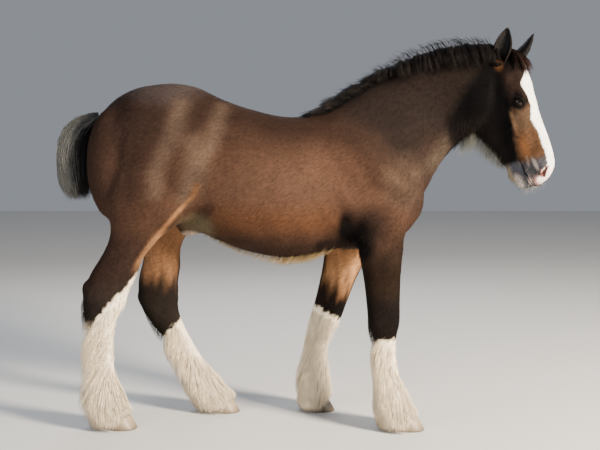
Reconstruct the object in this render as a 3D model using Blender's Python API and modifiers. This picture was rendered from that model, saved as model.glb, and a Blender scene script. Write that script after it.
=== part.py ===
"""A young feathered cob horse, standing, at life size: metres, +Z up, head towards +X, its left side towards +Y."""

import math
import random

import bmesh
import bpy
import numpy as np
from mathutils import Euler, Matrix, Vector
from mathutils.bvhtree import BVHTree

# Places of the joints in side view (x, z), measured from the stance, and how far each leg stands out from the middle
FORE_RIGHT = ((0.34, 0.92), (0.300, 0.740), (0.322, 0.430), (0.354, 0.165), (0.392, 0.072))
FORE_LEFT = ((0.29, 0.90), (0.190, 0.710), (0.112, 0.415), (0.066, 0.155), (0.053, 0.070))
HIND_RIGHT = ((-0.62, 1.02), (-0.585, 0.840), (-0.760, 0.500), (-0.757, 0.165), (-0.724, 0.072))
HIND_LEFT = ((-0.59, 1.00), (-0.525, 0.830), (-0.583, 0.472), (-0.398, 0.140), (-0.341, 0.070))
FORE_OUT = (0.105, 0.115, 0.135, 0.140, 0.142)
HIND_OUT = (0.105, 0.125, 0.125, 0.125, 0.125)

# Girths down a leg: place between the joints, reach to the front, reach to the rear, half width, squareness
FORE_GIRTHS = (
    (0.0, 0.110, 0.110, 0.055, 2.0),
    (0.5, 0.105, 0.105, 0.070, 2.0),
    (1.0, 0.103, 0.084, 0.068, 2.0),
    (1.25, 0.093, 0.076, 0.058, 2.0),
    (1.5, 0.080, 0.067, 0.051, 2.1),
    (1.8, 0.071, 0.063, 0.047, 2.2),
    (2.0, 0.066, 0.062, 0.050, 2.4),
    (2.12, 0.059, 0.057, 0.047, 2.4),
    (2.27, 0.045, 0.049, 0.036, 2.2),
    (2.5, 0.034, 0.040, 0.029, 2.1),
    (2.8, 0.036, 0.042, 0.031, 2.1),
    (3.0, 0.043, 0.050, 0.040, 2.2),
    (3.4, 0.038, 0.043, 0.037, 2.2),
    (4.0, 0.049, 0.046, 0.047, 2.2),
    (4.35, 0.050, 0.044, 0.047, 2.2),
)
HIND_GIRTHS = (
    (0.0, 0.140, 0.150, 0.080, 2.0),
    (0.5, 0.130, 0.165, 0.092, 2.0),
    (1.0, 0.112, 0.165, 0.082, 2.0),
    (1.35, 0.064, 0.096, 0.062, 2.0),
    (1.6, 0.072, 0.088, 0.050, 2.0),
    (1.8, 0.073, 0.094, 0.046, 2.1),
    (2.0, 0.084, 0.084, 0.050, 2.3),
    (2.15, 0.059, 0.080, 0.045, 2.3),
    (2.3, 0.043, 0.072, 0.037, 2.2),
    (2.5, 0.036, 0.052, 0.030, 2.1),
    (2.8, 0.037, 0.043, 0.031, 2.1),
    (3.0, 0.044, 0.051, 0.041, 2.2),
    (3.4, 0.038, 0.043, 0.037, 2.2),
    (4.0, 0.049, 0.046, 0.047, 2.2),
    (4.35, 0.050, 0.044, 0.047, 2.2),
)

# Barrel and quarters: x, top, widest height, bottom, half width, upper squareness, lower squareness
TORSO = (
    (-0.815, 1.150, 1.080, 1.000, 0.045, 2.0, 2.0),
    (-0.780, 1.222, 1.090, 0.930, 0.110, 2.0, 2.0),
    (-0.720, 1.284, 1.100, 0.860, 0.155, 2.0, 2.0),
    (-0.640, 1.328, 1.100, 0.810, 0.184, 1.95, 2.0),
    (-0.550, 1.346, 1.090, 0.790, 0.198, 1.9, 2.0),
    (-0.470, 1.346, 1.070, 0.775, 0.203, 1.9, 2.0),
    (-0.392, 1.326, 1.030, 0.752, 0.200, 1.9, 2.0),
    (-0.314, 1.287, 0.980, 0.718, 0.203, 1.9, 2.05),
    (-0.200, 1.246, 0.950, 0.677, 0.213, 1.95, 2.1),
    (-0.060, 1.216, 0.940, 0.654, 0.215, 2.0, 2.1),
    (0.060, 1.222, 0.945, 0.667, 0.200, 1.8, 2.1),
    (0.160, 1.245, 0.950, 0.690, 0.180, 1.6, 2.1),
    (0.260, 1.235, 0.950, 0.700, 0.168, 1.6, 2.1),
    (0.360, 1.180, 0.940, 0.715, 0.158, 1.8, 2.1),
    (0.430, 1.100, 0.930, 0.760, 0.130, 2.0, 2.0),
    (0.480, 1.020, 0.920, 0.830, 0.075, 2.0, 2.0),
)

# Neck: crest (x, z), under edge (x, z), y of the middle, half width, where it is widest, upper and lower squareness
NECK = (
    (0.04, 1.200, 0.34, 0.800, 0.000, 0.140, 0.45, 1.8, 2.0),
    (0.16, 1.266, 0.475, 0.885, 0.000, 0.130, 0.42, 1.6, 2.0),
    (0.29, 1.345, 0.530, 0.985, -0.012, 0.108, 0.42, 1.6, 2.1),
    (0.42, 1.405, 0.575, 1.060, -0.034, 0.090, 0.42, 1.6, 2.1),
    (0.54, 1.442, 0.620, 1.112, -0.062, 0.078, 0.42, 1.7, 2.1),
    (0.65, 1.458, 0.672, 1.150, -0.092, 0.074, 0.45, 1.8, 2.1),
    (0.74, 1.452, 0.735, 1.190, -0.118, 0.070, 0.50, 1.9, 2.1),
)
NECK_TURN = 20.0

# The head's own frame: x from the poll to the nose, z out of the forehead, y to the left
POLL = Vector((0.777, -0.115, 1.468))
HEAD_TURN = -28.0
HEAD_DROP = 72.7

# Head: x from the poll, face line, jaw line, half width, where it is widest, upper and lower squareness
HEAD = (
    (0.004, 0.010, -0.090, 0.044, 0.5, 2.0, 2.0),
    (0.036, 0.038, -0.125, 0.064, 0.6, 2.2, 2.0),
    (0.085, 0.053, -0.160, 0.078, 0.66, 2.5, 1.9),
    (0.145, 0.057, -0.185, 0.082, 0.70, 2.7, 1.8),
    (0.210, 0.056, -0.208, 0.081, 0.72, 2.7, 1.8),
    (0.270, 0.057, -0.212, 0.072, 0.72, 2.6, 1.8),
    (0.325, 0.060, -0.184, 0.060, 0.70, 2.5, 1.9),
    (0.375, 0.064, -0.156, 0.051, 0.66, 2.4, 2.0),
    (0.415, 0.066, -0.139, 0.047, 0.62, 2.3, 2.1),
    (0.447, 0.065, -0.126, 0.047, 0.60, 2.3, 2.1),
    (0.475, 0.060, -0.116, 0.049, 0.58, 2.3, 2.2),
    (0.500, 0.045, -0.108, 0.046, 0.56, 2.2, 2.2),
    (0.522, 0.020, -0.096, 0.038, 0.56, 2.2, 2.2),
    (0.535, -0.010, -0.078, 0.024, 0.56, 2.0, 2.0),
)

# Eggs that fill a form the lofts leave out: centre and radii, on both sides
FILL = {
    "thigh": ((-0.560, 0.105, 0.930), (0.140, 0.080, 0.180)),
    "upper arm": ((0.280, 0.105, 0.870), (0.120, 0.055, 0.110)),
    "buttock": ((-0.722, 0.093, 1.028), (0.104, 0.076, 0.222)),
}
# The points of the hocks, one by one, and the sheath
POINTS = {
    "hock right": ((-0.810, -0.125, 0.545), (0.036, 0.025, 0.042)),
    "hock left": ((-0.638, 0.125, 0.480), (0.034, 0.025, 0.040)),
    "sheath": ((-0.440, 0.0, 0.764), (0.048, 0.030, 0.028)),
}

# Swellings and hollows laid on both sides: centre, radii, tilt in degrees about y, and how far the skin is moved
BODY_FORMS = {
    "shoulder blade": ((0.290, 0.140, 1.050), (0.085, 0.110, 0.230), -38, 0.020),
    "groove behind the shoulder": ((0.160, 0.180, 0.990), (0.048, 0.090, 0.210), -34, -0.007),
    "triceps": ((0.215, 0.160, 0.870), (0.100, 0.080, 0.085), 0, 0.018),
    "point of shoulder": ((0.400, 0.120, 0.925), (0.060, 0.070, 0.075), 0, 0.016),
    "groove of the shoulder": ((0.330, 0.170, 0.905), (0.040, 0.060, 0.070), 30, -0.004),
    "breast": ((0.440, 0.065, 0.880), (0.070, 0.060, 0.110), 0, 0.014),
    "middle of the breast": ((0.460, 0.0, 0.880), (0.090, 0.024, 0.110), 0, -0.014),
    "elbow": ((0.205, 0.130, 0.740), (0.040, 0.060, 0.045), 0, 0.010),
    "near forearm": ((0.335, 0.140, 0.640), (0.050, 0.060, 0.110), 0, 0.008),
    "side of the neck": ((0.420, 0.080, 1.160), (0.150, 0.080, 0.110), -40, 0.010),
    "groove of the neck": ((0.530, 0.060, 1.120), (0.028, 0.090, 0.170), 52, -0.009),
    "windpipe": ((0.590, 0.0, 1.090), (0.030, 0.050, 0.150), 52, 0.008),
    "point of hip": ((-0.400, 0.165, 1.170), (0.090, 0.080, 0.075), 0, 0.012),
    "flank hollow": ((-0.320, 0.190, 1.080), (0.110, 0.080, 0.110), 0, -0.010),
    "loin": ((-0.300, 0.060, 1.240), (0.120, 0.060, 0.060), 0, 0.006),
    "rump": ((-0.560, 0.130, 1.220), (0.170, 0.110, 0.120), 10, 0.014),
    "middle of the croup": ((-0.580, 0.0, 1.335), (0.210, 0.045, 0.070), 0, -0.007),
    "groove of the thigh": ((-0.705, 0.160, 1.010), (0.036, 0.080, 0.190), 12, -0.006),
    "thigh": ((-0.580, 0.170, 0.980), (0.090, 0.080, 0.180), 15, 0.014),
    "stifle": ((-0.485, 0.160, 0.850), (0.085, 0.090, 0.095), 0, 0.014),
    "flank fold": ((-0.428, 0.150, 0.872), (0.030, 0.090, 0.110), 50, 0.010),
    "hollow of the flank": ((-0.386, 0.150, 0.832), (0.032, 0.090, 0.100), 50, -0.016),
    "between the buttocks": ((-0.800, 0.0, 1.000), (0.100, 0.045, 0.180), 0, -0.020),
    "gaskin": ((-0.600, 0.150, 0.720), (0.060, 0.060, 0.110), 25, 0.010),
    "rib cage": ((-0.080, 0.200, 0.960), (0.230, 0.090, 0.170), 0, 0.008),
    "behind the elbow": ((0.130, 0.120, 0.740), (0.090, 0.090, 0.070), 0, -0.007),
    "hollow of the back": ((-0.060, 0.0, 1.210), (0.200, 0.030, 0.040), 0, -0.004),
}
# The same in the head's frame
HEAD_FORMS = {
    "brow": ((0.200, 0.078, 0.032), (0.038, 0.036, 0.024), 0, 0.010),
    "eye's rim": ((0.218, 0.086, 0.000), (0.038, 0.030, 0.036), 0, 0.006),
    "temple": ((0.130, 0.070, 0.020), (0.036, 0.040, 0.030), 0, -0.009),
    "cheek": ((0.205, 0.080, -0.125), (0.100, 0.060, 0.080), 0, 0.008),
    "edge of the jaw": ((0.150, 0.050, -0.190), (0.100, 0.040, 0.026), 16, 0.005),
    "between the jaws": ((0.240, 0.0, -0.205), (0.120, 0.026, 0.040), -6, -0.016),
    "in front of the cheek": ((0.330, 0.055, -0.100), (0.034, 0.050, 0.060), 0, -0.006),
    "face crest": ((0.290, 0.066, -0.034), (0.070, 0.030, 0.014), 4, 0.007),
    "under the eye": ((0.252, 0.078, -0.020), (0.024, 0.030, 0.018), 0, -0.004),
    "side of the nose": ((0.350, 0.045, 0.018), (0.075, 0.030, 0.026), 0, -0.006),
    "bridge of the nose": ((0.350, 0.0, 0.062), (0.120, 0.030, 0.020), 0, 0.003),
    "nostril's rim": ((0.494, 0.042, 0.026), (0.030, 0.026, 0.026), 0, 0.008),
    "above the nostril": ((0.450, 0.042, 0.030), (0.022, 0.030, 0.022), 0, -0.004),
    "upper lip": ((0.520, 0.020, -0.026), (0.026, 0.036, 0.022), 0, 0.006),
    "side of the lip": ((0.470, 0.050, -0.034), (0.040, 0.024, 0.014), 0, 0.004),
    "lower lip": ((0.512, 0.020, -0.078), (0.028, 0.034, 0.018), 0, 0.007),
    "chin": ((0.480, 0.0, -0.116), (0.030, 0.030, 0.022), 0, 0.010),
    "chin groove": ((0.438, 0.0, -0.130), (0.020, 0.034, 0.024), 0, -0.008),
    "corner of the mouth": ((0.424, 0.048, -0.056), (0.018, 0.020, 0.014), 0, -0.004),
    "forehead": ((0.150, 0.0, 0.060), (0.080, 0.050, 0.030), 0, 0.005),
}

# Eyes, in the head's frame: where the ball lies, its radius, and the line it looks along
EYE = Vector((0.220, 0.0645, 0.012))
EYE_RADIUS = 0.0200
LID_THICKNESS = 0.0042
EYE_LOOK = Vector((0.10, 1.0, 0.28)).normalized()
EYE_WIDTH = 0.040
EYE_HEIGHT = 0.026
EYE_SLANT = -30.0

# Ears: root and tip in the head's frame, way the cup opens, width and depth along the length
EAR_RIGHT = (Vector((0.068, -0.056, -0.030)), Vector((-0.058, -0.060, 0.048)), Vector((0.1, -0.95, 0.30)))
EAR_LEFT = (Vector((0.062, 0.052, -0.020)), Vector((-0.028, 0.088, 0.098)), Vector((0.45, 0.55, 0.62)))
EAR = (
    (0.00, 0.016, 0.017),
    (0.15, 0.023, 0.023),
    (0.35, 0.031, 0.025),
    (0.52, 0.033, 0.020),
    (0.70, 0.027, 0.014),
    (0.86, 0.016, 0.009),
    (0.95, 0.007, 0.005),
    (1.00, 0.002, 0.002),
)

# Hoofs: tip of the toe on the ground, and the sizes all four share
TOES = {"fore_right": 0.485, "fore_left": 0.146, "hind_right": -0.634, "hind_left": -0.248}
HOOF_LENGTH = 0.112
HOOF_WIDTH = 0.106
HOOF_TOE = 0.078
HOOF_HEEL = 0.040
HOOF_LEAN = 0.045
GAP = 0.0003

# Where the head is parted from the neck, in the head's frame (x, z), the side of the neck that hair keeps clear of,
# and the block the neck is taken with
HEAD_CUT = ((-0.100, 0.069), (0.155, -0.221), (0.447, -0.300), (0.900, -0.200), (0.900, 0.400), (-0.100, 0.400))
NECK_SIDE = ((-0.100, 0.069), (-0.400, -0.200), (0.200, -0.600), (0.360, -0.420), (0.300, -0.260), (0.155, -0.221))
NECK_BLOCK = ((-0.3, -0.4, 0.0), (0.7, 0.4, 1.2))

# Heights the legs are parted at
ELBOW = 0.655
STIFLE = 0.770
KNEE = 0.425
HOCK = 0.505

# Outline of the long hair of each leg: height, front, rear, and half width
FRINGE = {
    "fore_right": (
        (0.400, 0.372, 0.272, 0.048),
        (0.300, 0.372, 0.272, 0.045),
        (0.200, 0.392, 0.275, 0.056),
        (0.120, 0.420, 0.282, 0.076),
        (0.060, 0.455, 0.285, 0.088),
        (0.015, 0.478, 0.300, 0.090),
    ),
    "fore_left": (
        (0.400, 0.165, 0.060, 0.046),
        (0.300, 0.145, 0.028, 0.045),
        (0.200, 0.118, -0.010, 0.056),
        (0.120, 0.122, -0.033, 0.074),
        (0.060, 0.138, -0.022, 0.084),
        (0.015, 0.146, 0.000, 0.086),
    ),
    "hind_right": (
        (0.470, -0.715, -0.850, 0.050),
        (0.350, -0.715, -0.852, 0.048),
        (0.200, -0.702, -0.862, 0.058),
        (0.120, -0.680, -0.871, 0.076),
        (0.060, -0.655, -0.871, 0.088),
        (0.015, -0.638, -0.820, 0.090),
    ),
    "hind_left": (
        (0.450, -0.520, -0.625, 0.048),
        (0.330, -0.460, -0.600, 0.048),
        (0.200, -0.380, -0.545, 0.058),
        (0.120, -0.320, -0.510, 0.076),
        (0.060, -0.270, -0.475, 0.086),
        (0.015, -0.246, -0.430, 0.088),
    ),
}
# Dock of the tail (x, z, half depth, half width) and outline of its hair (height, rear, front, half width)
DOCK = (
    (-0.760, 1.205, 0.030, 0.030),
    (-0.815, 1.205, 0.030, 0.030),
    (-0.862, 1.180, 0.028, 0.030),
    (-0.888, 1.130, 0.026, 0.028),
    (-0.893, 1.070, 0.024, 0.026),
    (-0.890, 1.010, 0.020, 0.022),
    (-0.886, 0.975, 0.010, 0.012),
)
TAIL = (
    (1.235, -0.860, -0.800, 0.030),
    (1.190, -0.924, -0.825, 0.045),
    (1.120, -0.955, -0.838, 0.058),
    (1.030, -0.970, -0.842, 0.066),
    (0.950, -0.955, -0.842, 0.062),
    (0.885, -0.920, -0.845, 0.040),
)

# Rows of the feather: share of the top height, how far round from the rear, count, length
FEATHER_ROWS = (
    (0.92, 60, 3, 0.120),
    (0.74, 70, 3, 0.130),
    (0.57, 85, 4, 0.130),
    (0.43, 110, 5, 0.125),
    (0.30, 160, 8, 0.100),
)
# Rows of the tail's hair: height on the dock, length, count
TAIL_ROWS = (
    (1.190, 0.150, 5),
    (1.115, 0.180, 6),
    (1.035, 0.155, 7),
)
MANE_COUNT = 25
WITHERS_COUNT = 5
FORELOCK_COUNT = 7
BEARD_COUNT = 12
BELLY_COUNT = 13

# Colours and roughness, and which part wears which
COLOURS = {
    "coat": ((0.115, 0.062, 0.034), 0.75),
    "neck coat": ((0.070, 0.042, 0.028), 0.75),
    "face": ((0.250, 0.175, 0.130), 0.75),
    "dark leg": ((0.035, 0.026, 0.022), 0.75),
    "feather": ((0.560, 0.500, 0.420), 0.85),
    "tail hair": ((0.120, 0.110, 0.105), 0.80),
    "ear": ((0.030, 0.024, 0.022), 0.80),
    "horn": ((0.330, 0.270, 0.200), 0.60),
    "dark horn": ((0.045, 0.042, 0.040), 0.60),
    "eye": ((0.012, 0.008, 0.007), 0.10),
}
LOOK = {
    "torso": "coat",
    "neck": "neck coat",
    "head": "face",
    "tail": "tail hair",
    "ear_right": "ear",
    "ear_left": "ear",
    "eye_right": "eye",
    "eye_left": "eye",
    "hoof_fore_right": "horn",
    "hoof_fore_left": "dark horn",
    "hoof_hind_right": "horn",
    "hoof_hind_left": "horn",
}
LOOK.update({"upper_" + leg: "dark leg" for leg in TOES})
LOOK.update({"lower_" + leg: "feather" for leg in TOES})

SOLVER = "MANIFOLD"
SHIFT = Vector((-0.001917006, 0.005816388, 0.0))
RATIO = 0.024
FINE = 0.008
SOFTENING = 0.0024
RING = 28
STEPS = 4


def smooth_rows(rows, steps=STEPS):
    """The rows of a table with steps rows drawn on a smooth curve from each row to the next."""
    rows = np.array(rows, float)
    padded = np.vstack((2 * rows[0] - rows[1], rows, 2 * rows[-1] - rows[-2]))
    drawn = []
    for i in range(len(rows) - 1):
        p0, p1, p2, p3 = padded[i : i + 4]
        for t in np.arange(steps) / steps:
            drawn.append(
                0.5
                * (
                    2 * p1
                    + (p2 - p0) * t
                    + (2 * p0 - 5 * p1 + 4 * p2 - p3) * t**2
                    + (3 * p1 - p0 - 3 * p2 + p3) * t**3
                )
            )
    drawn.append(rows[-1])
    return np.array(drawn)


def ring(top, low, side, half_width, widest, upper, lower):
    """A rounded section from low to top: points of two half superellipses that meet where it is widest."""
    top, low, side = (np.array(v, float) for v in (top, low, side))
    centre = low + widest * (top - low)
    angle = np.arange(RING) * 2 * math.pi / RING
    c, s = np.cos(angle), np.sin(angle)
    power = 2 / np.where(s > 0, upper, lower)
    across = half_width * np.sign(c) * np.abs(c) ** power
    along = np.abs(s) ** power
    reach = np.where((s > 0)[:, None], top - centre, low - centre)
    return centre + np.outer(across, side) + along[:, None] * reach


def loft(name, rings):
    """A closed skin over a row of rings."""
    mesh = bmesh.new()
    loops = [[mesh.verts.new(p) for p in points] for points in rings]
    for a, b in zip(loops, loops[1:]):
        for i in range(RING):
            j = (i + 1) % RING
            mesh.faces.new((a[i], a[j], b[j], b[i]))
    mesh.faces.new(loops[0][::-1])
    mesh.faces.new(loops[-1])
    bmesh.ops.recalc_face_normals(mesh, faces=mesh.faces)
    data = bpy.data.meshes.new(name)
    mesh.to_mesh(data)
    mesh.free()
    made = bpy.data.objects.new(name, data)
    bpy.context.scene.collection.objects.link(made)
    return made


def muscle(centre, radii, tilt=(0, 0, 0)):
    """An egg-shaped swelling, turned by tilt degrees about x, y and z."""
    bpy.ops.mesh.primitive_uv_sphere_add(segments=24, ring_count=14, radius=1)
    made = bpy.context.object
    turn = Euler([math.radians(a) for a in tilt]).to_matrix().to_4x4()
    made.data.transform(Matrix.Translation(centre) @ turn @ Matrix.Diagonal((*radii, 1)))
    return made


def torso():
    rings = []
    for x, top, wide, low, half, upper, lower in smooth_rows(TORSO):
        widest = (wide - low) / (top - low)
        rings.append(ring((x, 0, top), (x, 0, low), (0, 1, 0), half, widest, upper, lower))
    return loft("torso", rings)


def neck():
    rings = []
    rows = smooth_rows(NECK)
    for i, (x1, z1, x0, z0, y, half, widest, upper, lower) in enumerate(rows):
        turn = math.radians(NECK_TURN) * i / (len(rows) - 1)
        side = (math.sin(turn), math.cos(turn), 0)
        rings.append(ring((x1, y, z1), (x0, y, z0), side, half, widest, upper, lower))
    return loft("neck", rings)


def head_frame():
    """Carries the head's own frame into place."""
    turn = Euler((0, math.radians(HEAD_DROP), math.radians(HEAD_TURN)))
    return Matrix.Translation(POLL) @ turn.to_matrix().to_4x4()


def head():
    rings = []
    for x, top, low, half, widest, upper, lower in smooth_rows(HEAD):
        rings.append(ring((x, 0, top), (x, 0, low), (0, 1, 0), half, widest, upper, lower))
    made = loft("head", rings)
    made.data.transform(head_frame())
    return made


def limb(name, joints, out, girths, side):
    """A leg on its bones: each section stands square to the way the bones run there."""
    line = np.array([(x, side * y, z) for (x, z), y in zip(joints, out)])
    line = np.vstack((line, 2 * line[-1] - line[-2]))
    rings = []
    for place, front, rear, half, square in smooth_rows(girths):
        i = min(int(place), len(line) - 2)
        centre = line[i] + (place - i) * (line[i + 1] - line[i])
        before = line[min(max(round(place) - 1, 0), len(line) - 1)]
        after = line[min(round(place) + 1, len(line) - 1)]
        bone = line[i + 1] - line[i]
        bend = 1 - min(1, 4 * abs(place - round(place)))
        run = (1 - bend) * bone / np.linalg.norm(bone) + bend * (after - before) / np.linalg.norm(after - before)
        forward = np.array((-run[2], 0, run[0])) / math.hypot(run[0], run[2])
        widest = rear / (front + rear)
        rings.append(
            ring(centre + front * forward, centre - rear * forward, (0, 1, 0), half, widest, square, square)
        )
    return loft(name, rings)


def forms(points, normals, table):
    """How far each form of a table moves each point along its normal; a form lies on both sides of the middle."""
    moved = np.zeros(len(points))
    for (x, y, z), radii, tilt, amount in table.values():
        turn = np.array(Euler((0, math.radians(tilt), 0)).to_matrix())
        near = np.zeros(len(points))
        for side in (-1, 1) if y else (1,):
            away = (points - (x, side * y, z)) @ turn / radii
            near = np.maximum(near, np.clip(1 - (away**2).sum(1), 0, 1) ** 2)
        moved += amount * near
    return moved


def read_points(data):
    """Points and normals of a mesh as arrays."""
    points = np.empty(len(data.vertices) * 3)
    data.vertices.foreach_get("co", points)
    normals = np.empty(len(data.vertices) * 3)
    data.vertices.foreach_get("normal", normals)
    return points.reshape(-1, 3), normals.reshape(-1, 3)


def finished(thing):
    """Swaps an object's mesh for what its modifiers make of it."""
    bpy.context.view_layer.update()
    data = bpy.data.meshes.new_from_object(thing.evaluated_get(bpy.context.evaluated_depsgraph_get()))
    thing.modifiers.clear()
    thing.data = data
    return thing


def weigh(thing, name, weights):
    """A vertex group whose weights are given point by point."""
    group = thing.vertex_groups.new(name=name)
    for level in np.unique(np.round(weights, 1)):
        members = np.flatnonzero(np.round(weights, 1) == level)
        group.add([int(i) for i in members], float(level), "REPLACE")


def toward_face(points):
    """0 on the body, rising to 1 on the head."""
    out_of_poll = np.array(head_frame().inverted().to_3x3())
    own = (points - np.array(POLL)) @ out_of_poll.T
    near = np.clip((own[:, 0] - 0.02 + 0.6 * own[:, 2]) / 0.10, 0, 1)
    return near * (own[:, 0] < 0.60) * (own[:, 2] > -0.30), own


def flesh(fine=FINE):
    """Every mass of the body, fused and softened into one skin."""
    pieces = [torso(), neck(), head()]
    pieces.append(limb("fore_right", FORE_RIGHT, FORE_OUT, FORE_GIRTHS, -1))
    pieces.append(limb("fore_left", FORE_LEFT, FORE_OUT, FORE_GIRTHS, 1))
    pieces.append(limb("hind_right", HIND_RIGHT, HIND_OUT, HIND_GIRTHS, -1))
    pieces.append(limb("hind_left", HIND_LEFT, HIND_OUT, HIND_GIRTHS, 1))
    for (x, y, z), radii in FILL.values():
        pieces += [muscle((x, y, z), radii), muscle((x, -y, z), radii)]
    for centre, radii in POINTS.values():
        pieces.append(muscle(centre, radii))
    bpy.ops.object.select_all(action="DESELECT")
    for piece in pieces:
        piece.select_set(True)
    bpy.context.view_layer.objects.active = pieces[0]
    bpy.ops.object.join()
    body = bpy.context.object
    body.name = "flesh"
    remesh = body.modifiers.new("fuse", "REMESH")
    remesh.mode = "VOXEL"
    remesh.voxel_size = fine
    finished(body)
    points, normals = read_points(body.data)
    face, own = toward_face(points)
    legs = np.clip((points[:, 2] - 0.60) / 0.20, 0, 1)
    weigh(body, "soft", np.clip(legs * (1 - face), 0.04, 1))
    soften = body.modifiers.new("soften", "SMOOTH")
    soften.factor = 0.5
    soften.iterations = round(SOFTENING / fine**2)
    soften.vertex_group = "soft"
    even = body.modifiers.new("even", "SMOOTH")
    even.factor = 0.5
    even.iterations = round(SOFTENING / fine**2 / 12)
    finished(body)
    points, normals = read_points(body.data)
    face, own = toward_face(points)
    carried = np.array(head_frame().inverted().to_3x3())
    moved = forms(points, normals, BODY_FORMS)
    moved += forms(own, normals @ carried.T, HEAD_FORMS)
    body.data.vertices.foreach_set("co", (points + moved[:, None] * normals).ravel())
    body.data.update()
    return body


def along(table, place):
    """Values of a table's rows at a place along its first column, which may run either way."""
    table = np.array(table, float)
    order = np.argsort(table[:, 0])
    return [float(np.interp(place, table[order, 0], table[order, k])) for k in range(1, table.shape[1])]


def solid(cutter, body, operation, solver="MANIFOLD"):
    """One Boolean, applied; the cutter goes."""
    step = body.modifiers.new(operation.lower(), "BOOLEAN")
    step.operation = operation
    step.solver = solver
    step.object = cutter
    finished(body)
    bpy.data.objects.remove(cutter)
    return body


def copy_of(thing, name):
    made = thing.copy()
    made.data = thing.data.copy()
    made.name = name
    bpy.context.scene.collection.objects.link(made)
    return made


def tube(name, rings):
    """A closed skin over rings of any equal count of points."""
    mesh = bmesh.new()
    loops = [[mesh.verts.new(p) for p in points] for points in rings]
    count = len(loops[0])
    for a, b in zip(loops, loops[1:]):
        for i in range(count):
            j = (i + 1) % count
            mesh.faces.new((a[i], a[j], b[j], b[i]))
    mesh.faces.new(loops[0][::-1])
    mesh.faces.new(loops[-1])
    bmesh.ops.recalc_face_normals(mesh, faces=mesh.faces)
    bmesh.ops.triangulate(mesh, faces=mesh.faces)
    data = bpy.data.meshes.new(name)
    mesh.to_mesh(data)
    mesh.free()
    made = bpy.data.objects.new(name, data)
    bpy.context.scene.collection.objects.link(made)
    return made


def block(low, high):
    """A box between two corners."""
    x0, y0, z0 = low
    x1, y1, z1 = high
    rings = [[(x0, y0, z), (x1, y0, z), (x1, y1, z), (x0, y1, z)] for z in (z0, z1)]
    return tube("block", rings)


def ball(centre, radius, name, segments=16, rings=10):
    bpy.ops.mesh.primitive_uv_sphere_add(segments=segments, ring_count=rings, radius=radius)
    made = bpy.context.object
    made.name = name
    made.data.transform(Matrix.Translation(centre))
    return made


def part_off(body, name, low, high):
    """Takes what lies in a box off the body as a piece of its own, with a thin gap between."""
    piece = copy_of(body, name)
    solid(block(low, high), piece, "INTERSECT")
    wide_low = [v - GAP for v in low]
    wide_high = [v + GAP for v in high]
    solid(block(wide_low, wide_high), body, "DIFFERENCE")
    return piece


def eye_axes(side):
    """Right-handed axes of an eye in the head's frame: along the opening, up, and out."""
    out = Vector((EYE_LOOK.x, side * EYE_LOOK.y, EYE_LOOK.z))
    up = (Vector((0, 0, 1)) - out * out.z).normalized()
    ahead = up.cross(out) * side
    lean = math.radians(EYE_SLANT)
    width = ahead * math.cos(lean) + up * math.sin(lean)
    height = up * math.cos(lean) - ahead * math.sin(lean)
    return width, height, out


def lens(side, wide, high, near, far, spread):
    """The almond of an eye's opening as a solid that widens outwards."""
    width, height, out = eye_axes(side)
    centre = Vector((EYE.x, side * EYE.y, EYE.z))
    rings = []
    for reach, grow in ((near, 1.0), (far, spread)):
        row = []
        for k in range(20):
            turn = k * math.tau / 20
            a = math.cos(turn)
            b = math.sin(turn) * (1 - 0.35 * abs(a) ** 1.5) * (1.0 if math.sin(turn) > 0 else 0.82)
            row.append(centre + out * reach + width * (a * wide / 2 * grow) + height * (b * high / 2 * grow))
        rings.append(row)
    return tube("lens", rings)


def carry(thing):
    """Moves a thing made in the head's frame onto the head."""
    thing.data.transform(head_frame())
    return thing


def add_eye(head_piece, side, name):
    """Lids round an almond opening on the head, and the eyeball behind them."""
    centre = Vector((EYE.x, side * EYE.y, EYE.z))
    solid(carry(ball(centre, EYE_RADIUS + LID_THICKNESS, "lids", 16, 10)), head_piece, "UNION")
    solid(carry(lens(side, EYE_WIDTH, EYE_HEIGHT, 0.004, 0.040, 1.7)), head_piece, "DIFFERENCE")
    solid(carry(ball(centre, EYE_RADIUS + GAP, "socket", 16, 10)), head_piece, "DIFFERENCE")
    return carry(ball(centre, EYE_RADIUS, name, 16, 10))


def ear(name, root, tip, opening, grow=0.0):
    """One ear: a leaf rolled round a cup that opens to one side."""
    line = tip - root
    length = line.length
    up = line.normalized()
    root = root - up * (2 * grow)
    out = (opening - up * opening.dot(up)).normalized()
    side = up.cross(out)
    rings, hollow = [], []
    for t, wide, deep in EAR:
        bow = out * 0.012 * math.sin(math.pi * t)
        centre = root + up * (length * t) + bow
        wide, deep = max(wide, 0.002) + 1.2 * grow, max(deep, 0.002) + 1.2 * grow
        turn = [k * math.tau / 12 for k in range(12)]
        rings.append([centre + side * (wide * math.cos(a)) + out * (deep * math.sin(a)) for a in turn])
        if 0.1 < t < 0.95:
            cup = centre + out * (deep * 0.55)
            reach = [(0.80 * wide * math.cos(a), 0.95 * deep * math.sin(a)) for a in turn]
            hollow.append([cup + side * a + out * b for a, b in reach])
    made = carry(tube(name, rings))
    if grow == 0:
        solid(carry(tube("cup", hollow)), made, "DIFFERENCE")
    return made


def nostril(side):
    """The hollow of a nostril: a bent egg, narrow behind."""
    rings = []
    for t in np.linspace(0, 1, 7):
        back = -0.004 * math.sin(math.pi * t)
        centre = Vector((0.480 + 0.032 * t, side * (0.041 + 0.001 * t), 0.038 - 0.022 * t + back))
        size = 0.0022 + 0.0078 * math.sin(math.pi * (0.12 + 0.78 * t)) ** 0.8
        turn = [k * math.tau / 10 for k in range(10)]
        across = Vector((0.55, 0, 0.80)) * size
        rings.append([centre + across * math.cos(a) + Vector((0, 0.016, 0)) * math.sin(a) for a in turn])
    return carry(tube("nostril", rings))


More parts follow.
